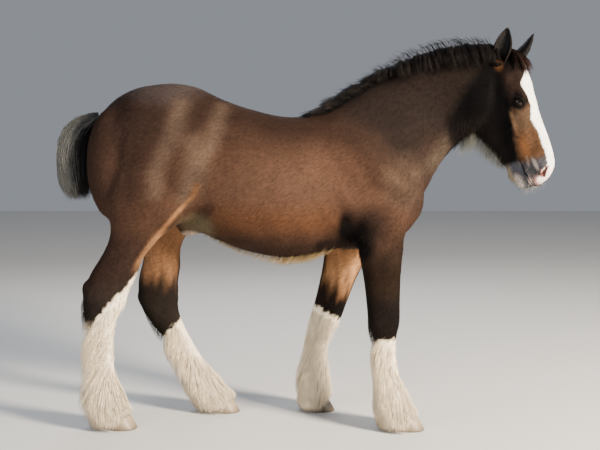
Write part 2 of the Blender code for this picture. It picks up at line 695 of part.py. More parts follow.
def mouth():
    """The line of the mouth: a thin blade bent round the muzzle."""
    line = ((0.428, 0.040), (0.447, 0.040), (0.475, 0.041), (0.500, 0.038), (0.518, 0.030), (0.528, 0.016))
    half = [(x, y, -0.053 + 0.20 * (x - 0.428)) for x, y in line]
    path = [Vector((x, -y, z)) for x, y, z in half] + [Vector((0.531, 0, half[-1][2]))]
    path += [Vector((x, y, z)) for x, y, z in reversed(half)]
    rings = []
    for i, p in enumerate(path):
        run = (path[min(i + 1, len(path) - 1)] - path[max(i - 1, 0)]).normalized()
        out = run.cross(Vector((0, 0, 1))).normalized()
        if out.x < 0 and abs(out.x) > 0.2:
            out = -out
        thick = 0.0016 if 0 < i < len(path) - 1 else 0.0006
        rise = Vector((0, 0, thick))
        rings.append([p - rise, p + out * 0.030 - rise, p + out * 0.030 + rise, p + rise])
    return carry(tube("mouth", rings))


def hoof_ring(toe, side_y, height, points=20):
    """Outline of a hoof's wall at a share of its height, on the slant between ground and coronet."""
    back = HOOF_LENGTH * (1 - height) + 0.092 * height
    front_x = toe - HOOF_LEAN * height
    half = (HOOF_WIDTH * (1 - height) + 0.092 * height) / 2
    row = []
    for k in range(points):
        a = k * math.tau / points
        c, s = math.cos(a), math.sin(a)
        x = front_x - back / 2 + back / 2 * math.copysign(abs(c) ** (1.0 if c > 0 else 0.55), c)
        y = side_y + half * math.copysign(abs(s) ** 0.9, s) * (1.0 - 0.10 * max(0.0, -c))
        slant = (x - (toe - HOOF_LEAN - 0.092)) / 0.092
        top = HOOF_HEEL + (HOOF_TOE - HOOF_HEEL) * min(max(slant, 0.0), 1.0)
        row.append((x, y, height * top))
    return row


def hoof(name, toe, side_y):
    """A hoof flat on the ground."""
    return tube(name, [hoof_ring(toe, side_y, h) for h in (0, 0.5, 1)])


def lock(path, flat, width, thick, steps=3):
    """A flat tapered lock along a bent line of three points."""
    a, b, c = path
    rings = []
    for k in range(steps + 1):
        t = k / steps
        point = a * (1 - t) ** 2 + b * (2 * t * (1 - t)) + c * t**2
        run = ((b - a) * (1 - t) + (c - b) * t).normalized()
        side = (flat - run * flat.dot(run)).normalized()
        rise = run.cross(side)
        size = (0.75, 1.0, 0.78, 0.10)[round(t * 3)]
        w, h = width / 2 * size, thick / 2 * max(size, 0.25)
        rings.append([point + side * w, point + rise * h, point - side * w])
    return tube("lock", rings)


def fuse(body, locks):
    """Joins a set of locks into the piece they grow from by one union, and keeps the largest closed skin."""
    if not locks:
        return body
    group = bpy.data.collections.new("locks of " + body.name)
    bpy.context.scene.collection.children.link(group)
    for made in locks:
        group.objects.link(made)
        bpy.context.scene.collection.objects.unlink(made)
    step = body.modifiers.new("locks", "BOOLEAN")
    step.operation = "UNION"
    step.solver = SOLVER
    step.operand_type = "COLLECTION"
    step.collection = group
    finished(body)
    for made in locks:
        bpy.data.objects.remove(made)
    bpy.data.collections.remove(group)
    return largest(body)


def largest(body):
    """Drops every loose island but the largest."""
    mesh = bmesh.new()
    mesh.from_mesh(body.data)
    bmesh.ops.remove_doubles(mesh, verts=mesh.verts, dist=0.000001)
    todo = set(mesh.verts)
    islands = []
    while todo:
        reached = [todo.pop()]
        island = []
        while reached:
            vertex = reached.pop()
            island.append(vertex)
            for edge in vertex.link_edges:
                other = edge.other_vert(vertex)
                if other in todo:
                    todo.remove(other)
                    reached.append(other)
        islands.append(island)
    islands.sort(key=len)
    for island in islands[:-1]:
        bmesh.ops.delete(mesh, geom=island, context="VERTS")
    mesh.to_mesh(body.data)
    mesh.free()
    return body


def oriented(point, across, up, low, high):
    """A box given in axes of its own: up is the way its first face looks away from, across lies in that face."""
    up = Vector(up).normalized()
    across = (Vector(across) - up * up.dot(across)).normalized()
    frame = Matrix((across, up.cross(across), up)).transposed().to_4x4()
    made = block(low, high)
    made.data.transform(Matrix.Translation(point) @ frame)
    return made


def slice_off(body, name, point, across, up, low, high):
    """Takes what lies beyond a plane off the body, with a thin gap left between."""
    piece = copy_of(body, name)
    solid(oriented(point, across, up, low, high), piece, "INTERSECT")
    wide = (low[0], low[1], low[2] - GAP)
    solid(oriented(point, across, up, wide, high), body, "DIFFERENCE")
    return piece


def widened(outline, grow):
    """A closed outline of straight edges, run anticlockwise, with every edge moved outwards."""
    points = [Vector(p) for p in outline]
    made = []
    for i, here in enumerate(points):
        into = (here - points[i - 1]).normalized()
        onward = (points[(i + 1) % len(points)] - here).normalized()
        a, b = Vector((into.y, -into.x)), Vector((onward.y, -onward.x))
        made.append(here + (a + b) * (grow / (1 + a.dot(b))))
    return made


def prism(outline, grow):
    """An outline in the head's side view, drawn out to both sides."""
    rings = [[(x, y, z) for x, z in widened(outline, grow)] for y in (-0.3, 0.3)]
    return carry(tube("prism", rings))


def coronet_cutter(toe, side_y):
    """What lies under the slant where hair ends and horn begins."""
    slope = (HOOF_TOE - HOOF_HEEL) / 0.092
    x0, x1 = toe - 0.26, toe + 0.08
    start = toe - HOOF_LEAN - 0.092
    z0, z1 = (HOOF_HEEL + slope * (x - start) + GAP for x in (x0, x1))
    y0, y1 = side_y - 0.12, side_y + 0.12
    low = [(x0, y0, -0.4), (x1, y0, -0.4), (x1, y1, -0.4), (x0, y1, -0.4)]
    return tube("under", [low, [(x0, y0, z0), (x1, y0, z1), (x1, y1, z1), (x0, y1, z0)]])


def dock(name, grow=0.0):
    rings = []
    for i, (x, z, deep, half) in enumerate(smooth_rows(DOCK, 2)):
        before = DOCK[max((i - 1) // 2, 0)]
        after = DOCK[min((i + 1) // 2 + 1, len(DOCK) - 1)]
        run = Vector((after[0] - before[0], 0, after[1] - before[1])).normalized()
        out = Vector((run.z, 0, -run.x))
        turn = [k * math.tau / 12 for k in range(12)]
        centre = Vector((x, 0, z)) - run * (2 * grow if i == 0 else 0)
        deep, half = deep + 1.2 * grow, half + 1.2 * grow
        rings.append([centre + out * (deep * math.cos(a)) + Vector((0, half * math.sin(a), 0)) for a in turn])
    return tube(name, rings)


def skin_tree(thing):
    mesh = thing.data
    return BVHTree.FromPolygons([v.co for v in mesh.vertices], [list(p.vertices) for p in mesh.polygons])


def touch(tree, centre, way, reach=0.25):
    """Where a line drawn in from outside first meets the skin."""
    spot = tree.ray_cast(centre + way * reach, -way, reach)
    return spot[0]


def leg_line(name):
    joints = {"fore_right": FORE_RIGHT, "fore_left": FORE_LEFT, "hind_right": HIND_RIGHT, "hind_left": HIND_LEFT}
    out = FORE_OUT if name.startswith("fore") else HIND_OUT
    side = -1 if name.endswith("right") else 1
    return sorted((z, x, side * y) for (x, z), y in zip(joints[name], out))


def feather(piece, name, dice):
    """Long hair down the back of the cannon, closing round the pastern and over the hoof."""
    tree = skin_tree(piece)
    line = leg_line(name)
    made = []
    for row, (share, spread, count, length) in enumerate(FEATHER_ROWS):
        top = FRINGE[name][0][0]
        z0 = top * share
        for k in range(count):
            turn = math.pi + math.radians(spread) * (2 * (k + 0.5 * (row % 2) + 0.25) / count - 1)
            turn += dice.uniform(-0.08, 0.08)
            x, y = along(line, z0)
            way = Vector((math.cos(turn), math.sin(turn), 0))
            root = touch(tree, Vector((x, y, z0)), way)
            if root is None:
                continue
            z1 = max(z0 - length * dice.uniform(0.85, 1.1), 0.004 + 0.004 * dice.random())
            front, rear, half = along(FRINGE[name], z1)
            shape = dice.uniform(0.90, 1.0)
            tip = Vector(((front + rear) / 2 + (front - rear) / 2 * way.x * shape, y + half * way.y * shape, z1))
            bulge = 0.15 if share < 0.35 else 0.09
            middle = root.lerp(tip, 0.5) + Vector((way.x, way.y, 0.4)) * (bulge * length)
            start = root - way * 0.010 + Vector((0, 0, 0.006))
            flat = Vector((-way.y, way.x, 0))
            wide = 0.034 if share < 0.35 else 0.043
            made.append(lock((start, middle, tip), flat, wide * dice.uniform(0.88, 1.05), 0.013))
    return made


def crest_at(x):
    """Middle and height of the neck's crest at a place along it."""
    return along([(row[0], row[4], row[1]) for row in NECK], x)


def mane(dice):
    """Short bristly hair swept back over the withers, and longer hair that arches over and falls down the near side."""
    made = []
    for k in range(MANE_COUNT):
        t = (k + 0.5) / MANE_COUNT
        x = 0.150 + 0.560 * t
        y, z = crest_at(x)
        side = 1 if k % 4 == 1 else -1
        over = min(max((x - 0.30) / 0.14, 0.0), 1.0)
        root = Vector((x, y + side * 0.004, z - 0.014))
        rise = dice.uniform(0.056, 0.064)
        sunk = 0.034 * (1 - over)
        middle = root + Vector((-0.026, side * (0.014 + 0.018 * over), rise + 0.016 * over - 0.5 * sunk))
        fall = dice.uniform(0.045, 0.070) + 0.020 * over
        swept = Vector((-0.052, side * 0.030, rise * 0.80 - sunk))
        fallen = Vector((0.022, side * 0.080, -fall))
        tip = root + swept.lerp(fallen, over)
        tip.x = min(tip.x, 0.715 - 0.54 * (1.455 - tip.z))
        made.append(lock((root, middle, tip), Vector((1, 0, 0.3)), dice.uniform(0.030, 0.038), 0.011))
    return made


def withers_hair(dice):
    """The last of the mane, on the withers."""
    made = []
    for k in range(WITHERS_COUNT):
        x = 0.045 + 0.045 * k / (WITHERS_COUNT - 1)
        y, z = crest_at(x)
        side = 1 if k % 2 else -1
        root = Vector((x, side * 0.006, z - 0.016))
        middle = root + Vector((-0.010, side * 0.010, 0.030))
        tip = root + Vector((-0.045, side * 0.020, 0.034 + 0.004 * dice.random()))
        made.append(lock((root, middle, tip), Vector((0.3, 1, 0)), 0.026, 0.010))
    return made


def brow_height(x, y):
    """Height of the upper side of the head, in its own frame."""
    top, low, half, widest, upper, lower = along(HEAD, x)
    middle = low + widest * (top - low)
    share = min(abs(y) / half, 0.98)
    return middle + (top - middle) * (1 - share**upper) ** (1 / upper)


def forelock(dice):
    """Hair from the poll, spread over the forehead and the near temple."""
    made = []
    for k in range(FORELOCK_COUNT):
        share = (k + 0.5) / FORELOCK_COUNT * 2 - 1
        root = Vector((0.004 + 0.010 * dice.random(), 0.024 * share, 0.000))
        x, y = 0.128 + 0.022 * dice.random() - 0.030 * abs(share), 0.056 * share - 0.006
        tip = Vector((x, y, brow_height(x, y) + 0.012))
        middle = Vector((0.040, 0.044 * share, 0.074 - 0.012 * abs(share)))
        flat = Vector((0, 1, -0.5 * share))
        made.append(carry(lock((root, middle, tip), flat, 0.026, 0.010)))
    return made


def beard(piece, dice):
    """Soft hair hanging from the edge of the jaw."""
    tree = skin_tree(piece)
    frame = head_frame()
    made = []
    for k in range(BEARD_COUNT):
        t = (k + 0.5) / BEARD_COUNT
        x = 0.250 + 0.155 * t
        y = dice.uniform(-0.022, 0.022)
        start = frame @ Vector((x, y, -0.10))
        away = (frame.to_3x3() @ Vector((0, 0, -1))).normalized()
        root = touch(tree, start, away, 0.13)
        if root is None:
            continue
        length = (0.078 - 0.044 * t) * dice.uniform(0.85, 1.15)
        tip = root + Vector((-0.1 * length, 0, -length)) + away * 0.004
        middle = root.lerp(tip, 0.5) + away * (0.3 * length)
        made.append(lock((root - away * 0.009, middle, tip), Vector((0.8, 0.5, 0)), 0.024, 0.010))
    return made


def belly_hair(piece, dice):
    tree = skin_tree(piece)
    made = []
    for k in range(BELLY_COUNT):
        t = (k + 0.5) / BELLY_COUNT
        x = -0.30 + 0.50 * t
        y = dice.uniform(-0.05, 0.05)
        root = touch(tree, Vector((x, y, 0.90)), Vector((0, 0, -1)), 0.4)
        if root is None:
            continue
        tip = root + Vector((-0.040, 0.2 * y, -0.018 - 0.010 * dice.random()))
        middle = root + Vector((-0.012, 0, -0.013))
        made.append(lock((root + Vector((0.016, 0, 0.008)), middle, tip), Vector((0.1, 1, 0)), 0.038, 0.010))
    return made


def tail_hair(dice):
    """Bushy hair that leaves the dock all round and falls behind the thighs."""
    made = []
    for row, (z0, length, count) in enumerate(TAIL_ROWS):
        by_height = [(z, x, deep, half) for x, z, deep, half in DOCK[1:]]
        x, deep, half = along(by_height, z0)
        for k in range(count):
            turn = math.tau * (k + 0.5 * (row % 2)) / count + dice.uniform(-0.15, 0.15)
            way = Vector((math.cos(turn), math.sin(turn), 0))
            root = Vector((x + way.x * deep * 0.6, way.y * half * 0.6, z0))
            z1 = max(z0 - length * dice.uniform(0.9, 1.1), 0.872 + 0.02 * dice.random())
            rear, front, wide = along(TAIL, z1)
            tip = Vector(((rear + front) / 2 + (front - rear) / 2 * way.x * 0.92, wide * way.y, z1))
            rear, front, wide = along(TAIL, root.z * 0.62 + tip.z * 0.38)
            reach = Vector(((rear + front) / 2 + (front - rear) / 2 * way.x, wide * way.y, 0))
            middle = Vector((0, 0, root.z * 0.62 + tip.z * 0.38)) + reach
            flat = Vector((-way.y, way.x, 0))
            made.append(lock((root, middle, tip), flat, dice.uniform(0.040, 0.050), 0.014))
    return made


def paint(name, colour, roughness):
    made = bpy.data.materials.new(name)
    made.use_nodes = True
    shader = made.node_tree.nodes["Principled BSDF"]
    shader.inputs["Base Color"].default_value = (*colour, 1)
    shader.inputs["Roughness"].default_value = roughness
    shader.inputs["Metallic"].default_value = 0.0
    return made


def body_parts():
    """Every part of the horse in the stance's own place, parted by thin gaps."""
    dice = random.Random(7)
    body = flesh()
    points, normals = read_points(body.data)
    face, own = toward_face(points)
    weigh(body, "plain", 1 - 0.9 * face * (1 - 0.3 * (points[:, 2] < 0.55)))
    fewer = body.modifiers.new("fewer", "DECIMATE")
    fewer.ratio = RATIO
    fewer.vertex_group = "plain"
    fewer.vertex_group_factor = 0.01
    fewer.use_collapse_triangulate = True
    finished(body)
    body.name = "torso"
    body.vertex_groups.clear()
    made = {}
    for name, top, knee, x0, x1, side in (
        ("fore_right", ELBOW, KNEE, 0.15, 0.60, -1),
        ("fore_left", ELBOW, KNEE, -0.15, 0.45, 1),
        ("hind_right", STIFLE, HOCK, -0.95, -0.455, -1),
        ("hind_left", STIFLE, HOCK, -0.95, -0.455, 1),
    ):
        y0, y1 = sorted((side * 0.038, side * 0.40))
        far_x = x1 if name != "hind_left" else -0.15
        lower = part_off(body, "lower_" + name, (x0, y0, -0.1), (far_x, y1, knee))
        made["upper_" + name] = part_off(body, "upper_" + name, (x0, y0, knee - 0.01), (x1, y1, top))
        foot = FORE_OUT[-1] if name.startswith("fore") else HIND_OUT[-1]
        solid(coronet_cutter(TOES[name], side * foot), lower, "DIFFERENCE")
        made["lower_" + name] = fuse(lower, feather(lower, name, dice))
        made["hoof_" + name] = hoof("hoof_" + name, TOES[name], side * foot)
    head_piece = copy_of(body, "head")
    solid(prism(HEAD_CUT, 0.0), head_piece, "INTERSECT")
    solid(prism(HEAD_CUT, GAP), body, "DIFFERENCE")
    neck_piece = slice_off(body, "neck", (0.11, 0, 1.25), (0.738, 0, -0.675), (0.675, 0, 0.738), *NECK_BLOCK)
    made["eye_right"] = add_eye(head_piece, -1, "eye_right")
    made["eye_left"] = add_eye(head_piece, 1, "eye_left")
    solid(nostril(-1), head_piece, "DIFFERENCE")
    solid(nostril(1), head_piece, "DIFFERENCE")
    solid(mouth(), head_piece, "DIFFERENCE")
    head_piece = fuse(head_piece, forelock(dice) + beard(head_piece, dice))
    solid(prism(NECK_SIDE, -GAP / 3), head_piece, "DIFFERENCE")
    neck_piece = fuse(neck_piece, mane(dice))
    body = fuse(body, belly_hair(body, dice) + withers_hair(dice))
    for name, spots in (("ear_right", EAR_RIGHT), ("ear_left", EAR_LEFT)):
        solid(ear("around " + name, *spots, grow=GAP), head_piece, "DIFFERENCE")
        made[name] = ear(name, *spots)
    solid(dock("around the dock", GAP), body, "DIFFERENCE")
    made["tail"] = fuse(dock("tail"), tail_hair(dice))
    made["head"] = largest(head_piece)
    made["neck"] = largest(neck_piece)
    made["torso"] = largest(body)
    return made


def main():
    for old in list(bpy.data.objects):
        bpy.data.objects.remove(old)
    horse = bpy.data.collections.new("cob_horse")
    bpy.context.scene.collection.children.link(horse)
    made = body_parts()
    paints = {name: paint(name, colour, rough) for name, (colour, rough) in COLOURS.items()}
    for name, piece in made.items():
        piece.data.transform(Matrix.Translation(SHIFT))
        piece.name = name
        piece.data.name = name
        piece.data.materials.clear()
        piece.data.materials.append(paints[LOOK[name]])
        for holder in list(piece.users_collection):
            holder.objects.unlink(piece)
        horse.objects.link(piece)


if __name__ == "__main__":
    main()
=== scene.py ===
"""A young feathered cob horse at life size, dressed: marked skin, coat, long hair, eyes, ears and hoofs."""

import math

import bmesh
import bpy
import numpy as np
from mathutils import Euler, Matrix, Vector
from mathutils.bvhtree import BVHTree


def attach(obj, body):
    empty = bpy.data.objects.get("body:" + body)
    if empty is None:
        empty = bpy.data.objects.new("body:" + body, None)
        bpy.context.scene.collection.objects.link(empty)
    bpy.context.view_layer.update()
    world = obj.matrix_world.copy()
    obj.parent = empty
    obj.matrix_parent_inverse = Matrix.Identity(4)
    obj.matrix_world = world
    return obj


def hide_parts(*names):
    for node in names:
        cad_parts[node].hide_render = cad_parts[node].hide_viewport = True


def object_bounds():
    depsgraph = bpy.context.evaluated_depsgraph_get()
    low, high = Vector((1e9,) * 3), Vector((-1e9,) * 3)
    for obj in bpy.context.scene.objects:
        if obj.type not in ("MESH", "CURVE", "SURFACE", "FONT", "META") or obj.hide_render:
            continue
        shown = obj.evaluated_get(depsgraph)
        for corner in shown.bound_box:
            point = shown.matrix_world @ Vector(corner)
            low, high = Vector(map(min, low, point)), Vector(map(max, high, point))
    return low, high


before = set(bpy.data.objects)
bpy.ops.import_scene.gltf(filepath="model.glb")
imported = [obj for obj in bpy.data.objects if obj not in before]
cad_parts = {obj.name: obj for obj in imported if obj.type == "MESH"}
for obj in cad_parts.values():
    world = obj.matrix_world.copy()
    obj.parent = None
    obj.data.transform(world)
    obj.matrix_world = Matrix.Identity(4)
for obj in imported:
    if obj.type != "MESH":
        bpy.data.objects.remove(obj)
START = [list(corner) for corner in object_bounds()]


# Places of the joints in side view (x, z), measured from the stance,
# and how far each leg stands out from the middle
FORE_RIGHT = ((0.34, 0.92), (0.300, 0.740), (0.322, 0.430), (0.354, 0.165), (0.392, 0.072))
FORE_LEFT = ((0.29, 0.90), (0.190, 0.710), (0.112, 0.415), (0.066, 0.155), (0.053, 0.070))
HIND_RIGHT = ((-0.62, 1.02), (-0.585, 0.840), (-0.760, 0.500), (-0.757, 0.165), (-0.724, 0.072))
HIND_LEFT = ((-0.59, 1.00), (-0.525, 0.830), (-0.583, 0.472), (-0.398, 0.140), (-0.341, 0.070))
FORE_OUT = (0.105, 0.115, 0.135, 0.140, 0.142)
HIND_OUT = (0.105, 0.125, 0.125, 0.125, 0.125)

# Girths down a leg: place between the joints, reach to the front, reach to the rear, half width, squareness
FORE_GIRTHS = (
    (0.0, 0.110, 0.110, 0.055, 2.0),
    (0.5, 0.105, 0.105, 0.070, 2.0),
    (1.0, 0.103, 0.084, 0.068, 2.0),
    (1.25, 0.093, 0.076, 0.058, 2.0),
    (1.5, 0.080, 0.067, 0.051, 2.1),
    (1.8, 0.071, 0.063, 0.047, 2.2),
    (2.0, 0.066, 0.062, 0.050, 2.4),
    (2.12, 0.059, 0.057, 0.047, 2.4),
    (2.27, 0.045, 0.049, 0.036, 2.2),
    (2.5, 0.034, 0.040, 0.029, 2.1),
    (2.8, 0.036, 0.042, 0.031, 2.1),
    (3.0, 0.043, 0.050, 0.040, 2.2),
    (3.4, 0.038, 0.043, 0.037, 2.2),
    (4.0, 0.049, 0.046, 0.047, 2.2),
    (4.35, 0.050, 0.044, 0.047, 2.2),
)
HIND_GIRTHS = (
    (0.0, 0.140, 0.150, 0.080, 2.0),
    (0.5, 0.130, 0.165, 0.092, 2.0),
    (1.0, 0.112, 0.165, 0.082, 2.0),
    (1.35, 0.064, 0.096, 0.062, 2.0),
    (1.6, 0.072, 0.088, 0.050, 2.0),
    (1.8, 0.073, 0.094, 0.046, 2.1),
    (2.0, 0.084, 0.084, 0.050, 2.3),
    (2.15, 0.059, 0.080, 0.045, 2.3),
    (2.3, 0.043, 0.072, 0.037, 2.2),
    (2.5, 0.036, 0.052, 0.030, 2.1),
    (2.8, 0.037, 0.043, 0.031, 2.1),
    (3.0, 0.044, 0.051, 0.041, 2.2),
    (3.4, 0.038, 0.043, 0.037, 2.2),
    (4.0, 0.049, 0.046, 0.047, 2.2),
    (4.35, 0.050, 0.044, 0.047, 2.2),
)

# Barrel and quarters: x, top, widest height, bottom, half width, upper squareness, lower squareness
TORSO = (
    (-0.815, 1.150, 1.080, 1.000, 0.045, 2.0, 2.0),
    (-0.780, 1.222, 1.090, 0.930, 0.110, 2.0, 2.0),
    (-0.720, 1.284, 1.100, 0.860, 0.155, 2.0, 2.0),
    (-0.640, 1.328, 1.100, 0.810, 0.184, 1.95, 2.0),
    (-0.550, 1.346, 1.090, 0.790, 0.198, 1.9, 2.0),
    (-0.470, 1.346, 1.070, 0.775, 0.203, 1.9, 2.0),
    (-0.392, 1.326, 1.030, 0.752, 0.200, 1.9, 2.0),
    (-0.314, 1.287, 0.980, 0.718, 0.203, 1.9, 2.05),
    (-0.200, 1.246, 0.950, 0.677, 0.213, 1.95, 2.1),
    (-0.060, 1.216, 0.940, 0.654, 0.215, 2.0, 2.1),
    (0.060, 1.222, 0.945, 0.667, 0.200, 1.8, 2.1),
    (0.160, 1.245, 0.950, 0.690, 0.180, 1.6, 2.1),
    (0.260, 1.235, 0.950, 0.700, 0.168, 1.6, 2.1),
    (0.360, 1.180, 0.940, 0.715, 0.158, 1.8, 2.1),
    (0.430, 1.100, 0.930, 0.760, 0.130, 2.0, 2.0),
    (0.480, 1.020, 0.920, 0.830, 0.075, 2.0, 2.0),
)

# Neck: crest (x, z), under edge (x, z), y of the middle, half width, where it is widest,
# upper and lower squareness
NECK = (
    (0.04, 1.200, 0.34, 0.800, 0.000, 0.140, 0.45, 1.8, 2.0),
    (0.16, 1.266, 0.475, 0.885, 0.000, 0.130, 0.42, 1.6, 2.0),
    (0.29, 1.345, 0.530, 0.985, -0.012, 0.108, 0.42, 1.6, 2.1),
    (0.42, 1.405, 0.575, 1.060, -0.034, 0.090, 0.42, 1.6, 2.1),
    (0.54, 1.442, 0.620, 1.112, -0.062, 0.078, 0.42, 1.7, 2.1),
    (0.65, 1.458, 0.672, 1.150, -0.092, 0.074, 0.45, 1.8, 2.1),
    (0.74, 1.452, 0.735, 1.190, -0.118, 0.070, 0.50, 1.9, 2.1),
)
NECK_TURN = 20.0

# The head's own frame: x from the poll to the nose, z out of the forehead, y to the left
POLL = Vector((0.777, -0.115, 1.468))
HEAD_TURN = -28.0
HEAD_DROP = 72.7

# Head: x from the poll, face line, jaw line, half width, where it is widest, upper and lower squareness
HEAD = (
    (0.004, 0.010, -0.090, 0.044, 0.5, 2.0, 2.0),
    (0.036, 0.038, -0.125, 0.064, 0.6, 2.2, 2.0),
    (0.085, 0.053, -0.160, 0.078, 0.66, 2.5, 1.9),
    (0.145, 0.057, -0.185, 0.082, 0.70, 2.7, 1.8),
    (0.210, 0.056, -0.208, 0.081, 0.72, 2.7, 1.8),
    (0.270, 0.057, -0.212, 0.072, 0.72, 2.6, 1.8),
    (0.325, 0.060, -0.184, 0.060, 0.70, 2.5, 1.9),
    (0.375, 0.064, -0.156, 0.051, 0.66, 2.4, 2.0),
    (0.415, 0.066, -0.139, 0.047, 0.62, 2.3, 2.1),
    (0.447, 0.065, -0.126, 0.047, 0.60, 2.3, 2.1),
    (0.475, 0.060, -0.116, 0.049, 0.58, 2.3, 2.2),
    (0.500, 0.045, -0.108, 0.046, 0.56, 2.2, 2.2),
    (0.522, 0.020, -0.096, 0.038, 0.56, 2.2, 2.2),
    (0.535, -0.010, -0.078, 0.024, 0.56, 2.0, 2.0),
)

# Eggs that fill a form the lofts leave out: centre and radii, on both sides
FILL = {
    "thigh": ((-0.560, 0.105, 0.930), (0.140, 0.080, 0.180)),
    "upper arm": ((0.280, 0.105, 0.870), (0.120, 0.055, 0.110)),
    "buttock": ((-0.722, 0.093, 1.028), (0.104, 0.076, 0.222)),
}

# The points of the hocks, one by one, and the sheath
POINTS = {
    "hock right": ((-0.810, -0.125, 0.545), (0.036, 0.025, 0.042)),
    "hock left": ((-0.638, 0.125, 0.480), (0.034, 0.025, 0.040)),
    "sheath": ((-0.440, 0.0, 0.764), (0.048, 0.030, 0.028)),
}

# Swellings and hollows laid on both sides: centre, radii, tilt in degrees about y,
# and how far the skin is moved
BODY_FORMS = {
    "shoulder blade": ((0.290, 0.140, 1.050), (0.085, 0.110, 0.230), -38, 0.020),
    "groove behind the shoulder": ((0.160, 0.180, 0.990), (0.048, 0.090, 0.210), -34, -0.007),
    "triceps": ((0.215, 0.160, 0.870), (0.100, 0.080, 0.085), 0, 0.018),
    "point of shoulder": ((0.400, 0.120, 0.925), (0.060, 0.070, 0.075), 0, 0.016),
    "groove of the shoulder": ((0.330, 0.170, 0.905), (0.040, 0.060, 0.070), 30, -0.004),
    "breast": ((0.440, 0.065, 0.880), (0.070, 0.060, 0.110), 0, 0.014),
    "middle of the breast": ((0.460, 0.0, 0.880), (0.090, 0.024, 0.110), 0, -0.014),
    "elbow": ((0.205, 0.130, 0.740), (0.040, 0.060, 0.045), 0, 0.010),
    "near forearm": ((0.335, 0.140, 0.640), (0.050, 0.060, 0.110), 0, 0.008),
    "side of the neck": ((0.420, 0.080, 1.160), (0.150, 0.080, 0.110), -40, 0.010),
    "groove of the neck": ((0.530, 0.060, 1.120), (0.028, 0.090, 0.170), 52, -0.009),
    "windpipe": ((0.590, 0.0, 1.090), (0.030, 0.050, 0.150), 52, 0.008),
    "point of hip": ((-0.400, 0.165, 1.170), (0.090, 0.080, 0.075), 0, 0.012),
    "flank hollow": ((-0.320, 0.190, 1.080), (0.110, 0.080, 0.110), 0, -0.010),
    "loin": ((-0.300, 0.060, 1.240), (0.120, 0.060, 0.060), 0, 0.006),
    "rump": ((-0.560, 0.130, 1.220), (0.170, 0.110, 0.120), 10, 0.014),
    "middle of the croup": ((-0.580, 0.0, 1.335), (0.210, 0.045, 0.070), 0, -0.007),
    "groove of the thigh": ((-0.705, 0.160, 1.010), (0.036, 0.080, 0.190), 12, -0.006),
    "thigh": ((-0.580, 0.170, 0.980), (0.090, 0.080, 0.180), 15, 0.014),
    "stifle": ((-0.485, 0.160, 0.850), (0.085, 0.090, 0.095), 0, 0.014),
    "flank fold": ((-0.428, 0.150, 0.872), (0.030, 0.090, 0.110), 50, 0.010),
    "hollow of the flank": ((-0.386, 0.150, 0.832), (0.032, 0.090, 0.100), 50, -0.016),
    "between the buttocks": ((-0.800, 0.0, 1.000), (0.100, 0.045, 0.180), 0, -0.020),
    "gaskin": ((-0.600, 0.150, 0.720), (0.060, 0.060, 0.110), 25, 0.010),
    "rib cage": ((-0.080, 0.200, 0.960), (0.230, 0.090, 0.170), 0, 0.008),
    "behind the elbow": ((0.130, 0.120, 0.740), (0.090, 0.090, 0.070), 0, -0.007),
    "hollow of the back": ((-0.060, 0.0, 1.210), (0.200, 0.030, 0.040), 0, -0.004),
}

# The same in the head's frame
HEAD_FORMS = {
    "brow": ((0.200, 0.078, 0.032), (0.038, 0.036, 0.024), 0, 0.010),
    "eye's rim": ((0.218, 0.086, 0.000), (0.038, 0.030, 0.036), 0, 0.006),
    "temple": ((0.130, 0.070, 0.020), (0.036, 0.040, 0.030), 0, -0.009),
    "cheek": ((0.205, 0.080, -0.125), (0.100, 0.060, 0.080), 0, 0.008),
    "edge of the jaw": ((0.150, 0.050, -0.190), (0.100, 0.040, 0.026), 16, 0.005),
    "between the jaws": ((0.240, 0.0, -0.205), (0.120, 0.026, 0.040), -6, -0.016),
    "in front of the cheek": ((0.330, 0.055, -0.100), (0.034, 0.050, 0.060), 0, -0.006),
    "face crest": ((0.290, 0.066, -0.034), (0.070, 0.030, 0.014), 4, 0.007),
    "under the eye": ((0.252, 0.078, -0.020), (0.024, 0.030, 0.018), 0, -0.004),
    "side of the nose": ((0.350, 0.045, 0.018), (0.075, 0.030, 0.026), 0, -0.006),
    "bridge of the nose": ((0.350, 0.0, 0.062), (0.120, 0.030, 0.020), 0, 0.003),
    "nostril's rim": ((0.494, 0.042, 0.026), (0.030, 0.026, 0.026), 0, 0.008),
    "above the nostril": ((0.450, 0.042, 0.030), (0.022, 0.030, 0.022), 0, -0.004),
    "upper lip": ((0.520, 0.020, -0.026), (0.026, 0.036, 0.022), 0, 0.006),
    "side of the lip": ((0.470, 0.050, -0.034), (0.040, 0.024, 0.014), 0, 0.004),
    "lower lip": ((0.512, 0.020, -0.078), (0.028, 0.034, 0.018), 0, 0.007),
    "chin": ((0.480, 0.0, -0.116), (0.030, 0.030, 0.022), 0, 0.010),
    "chin groove": ((0.438, 0.0, -0.130), (0.020, 0.034, 0.024), 0, -0.008),
    "corner of the mouth": ((0.424, 0.048, -0.056), (0.018, 0.020, 0.014), 0, -0.004),
    "forehead": ((0.150, 0.0, 0.060), (0.080, 0.050, 0.030), 0, 0.005),
}

# Eyes, in the head's frame: where the ball lies, its radius, and the line it looks along
EYE = Vector((0.220, 0.0645, 0.012))
EYE_RADIUS = 0.0200
LID_THICKNESS = 0.0042
EYE_LOOK = Vector((0.10, 1.0, 0.28)).normalized()
EYE_WIDTH = 0.040
EYE_HEIGHT = 0.026
EYE_SLANT = -30.0

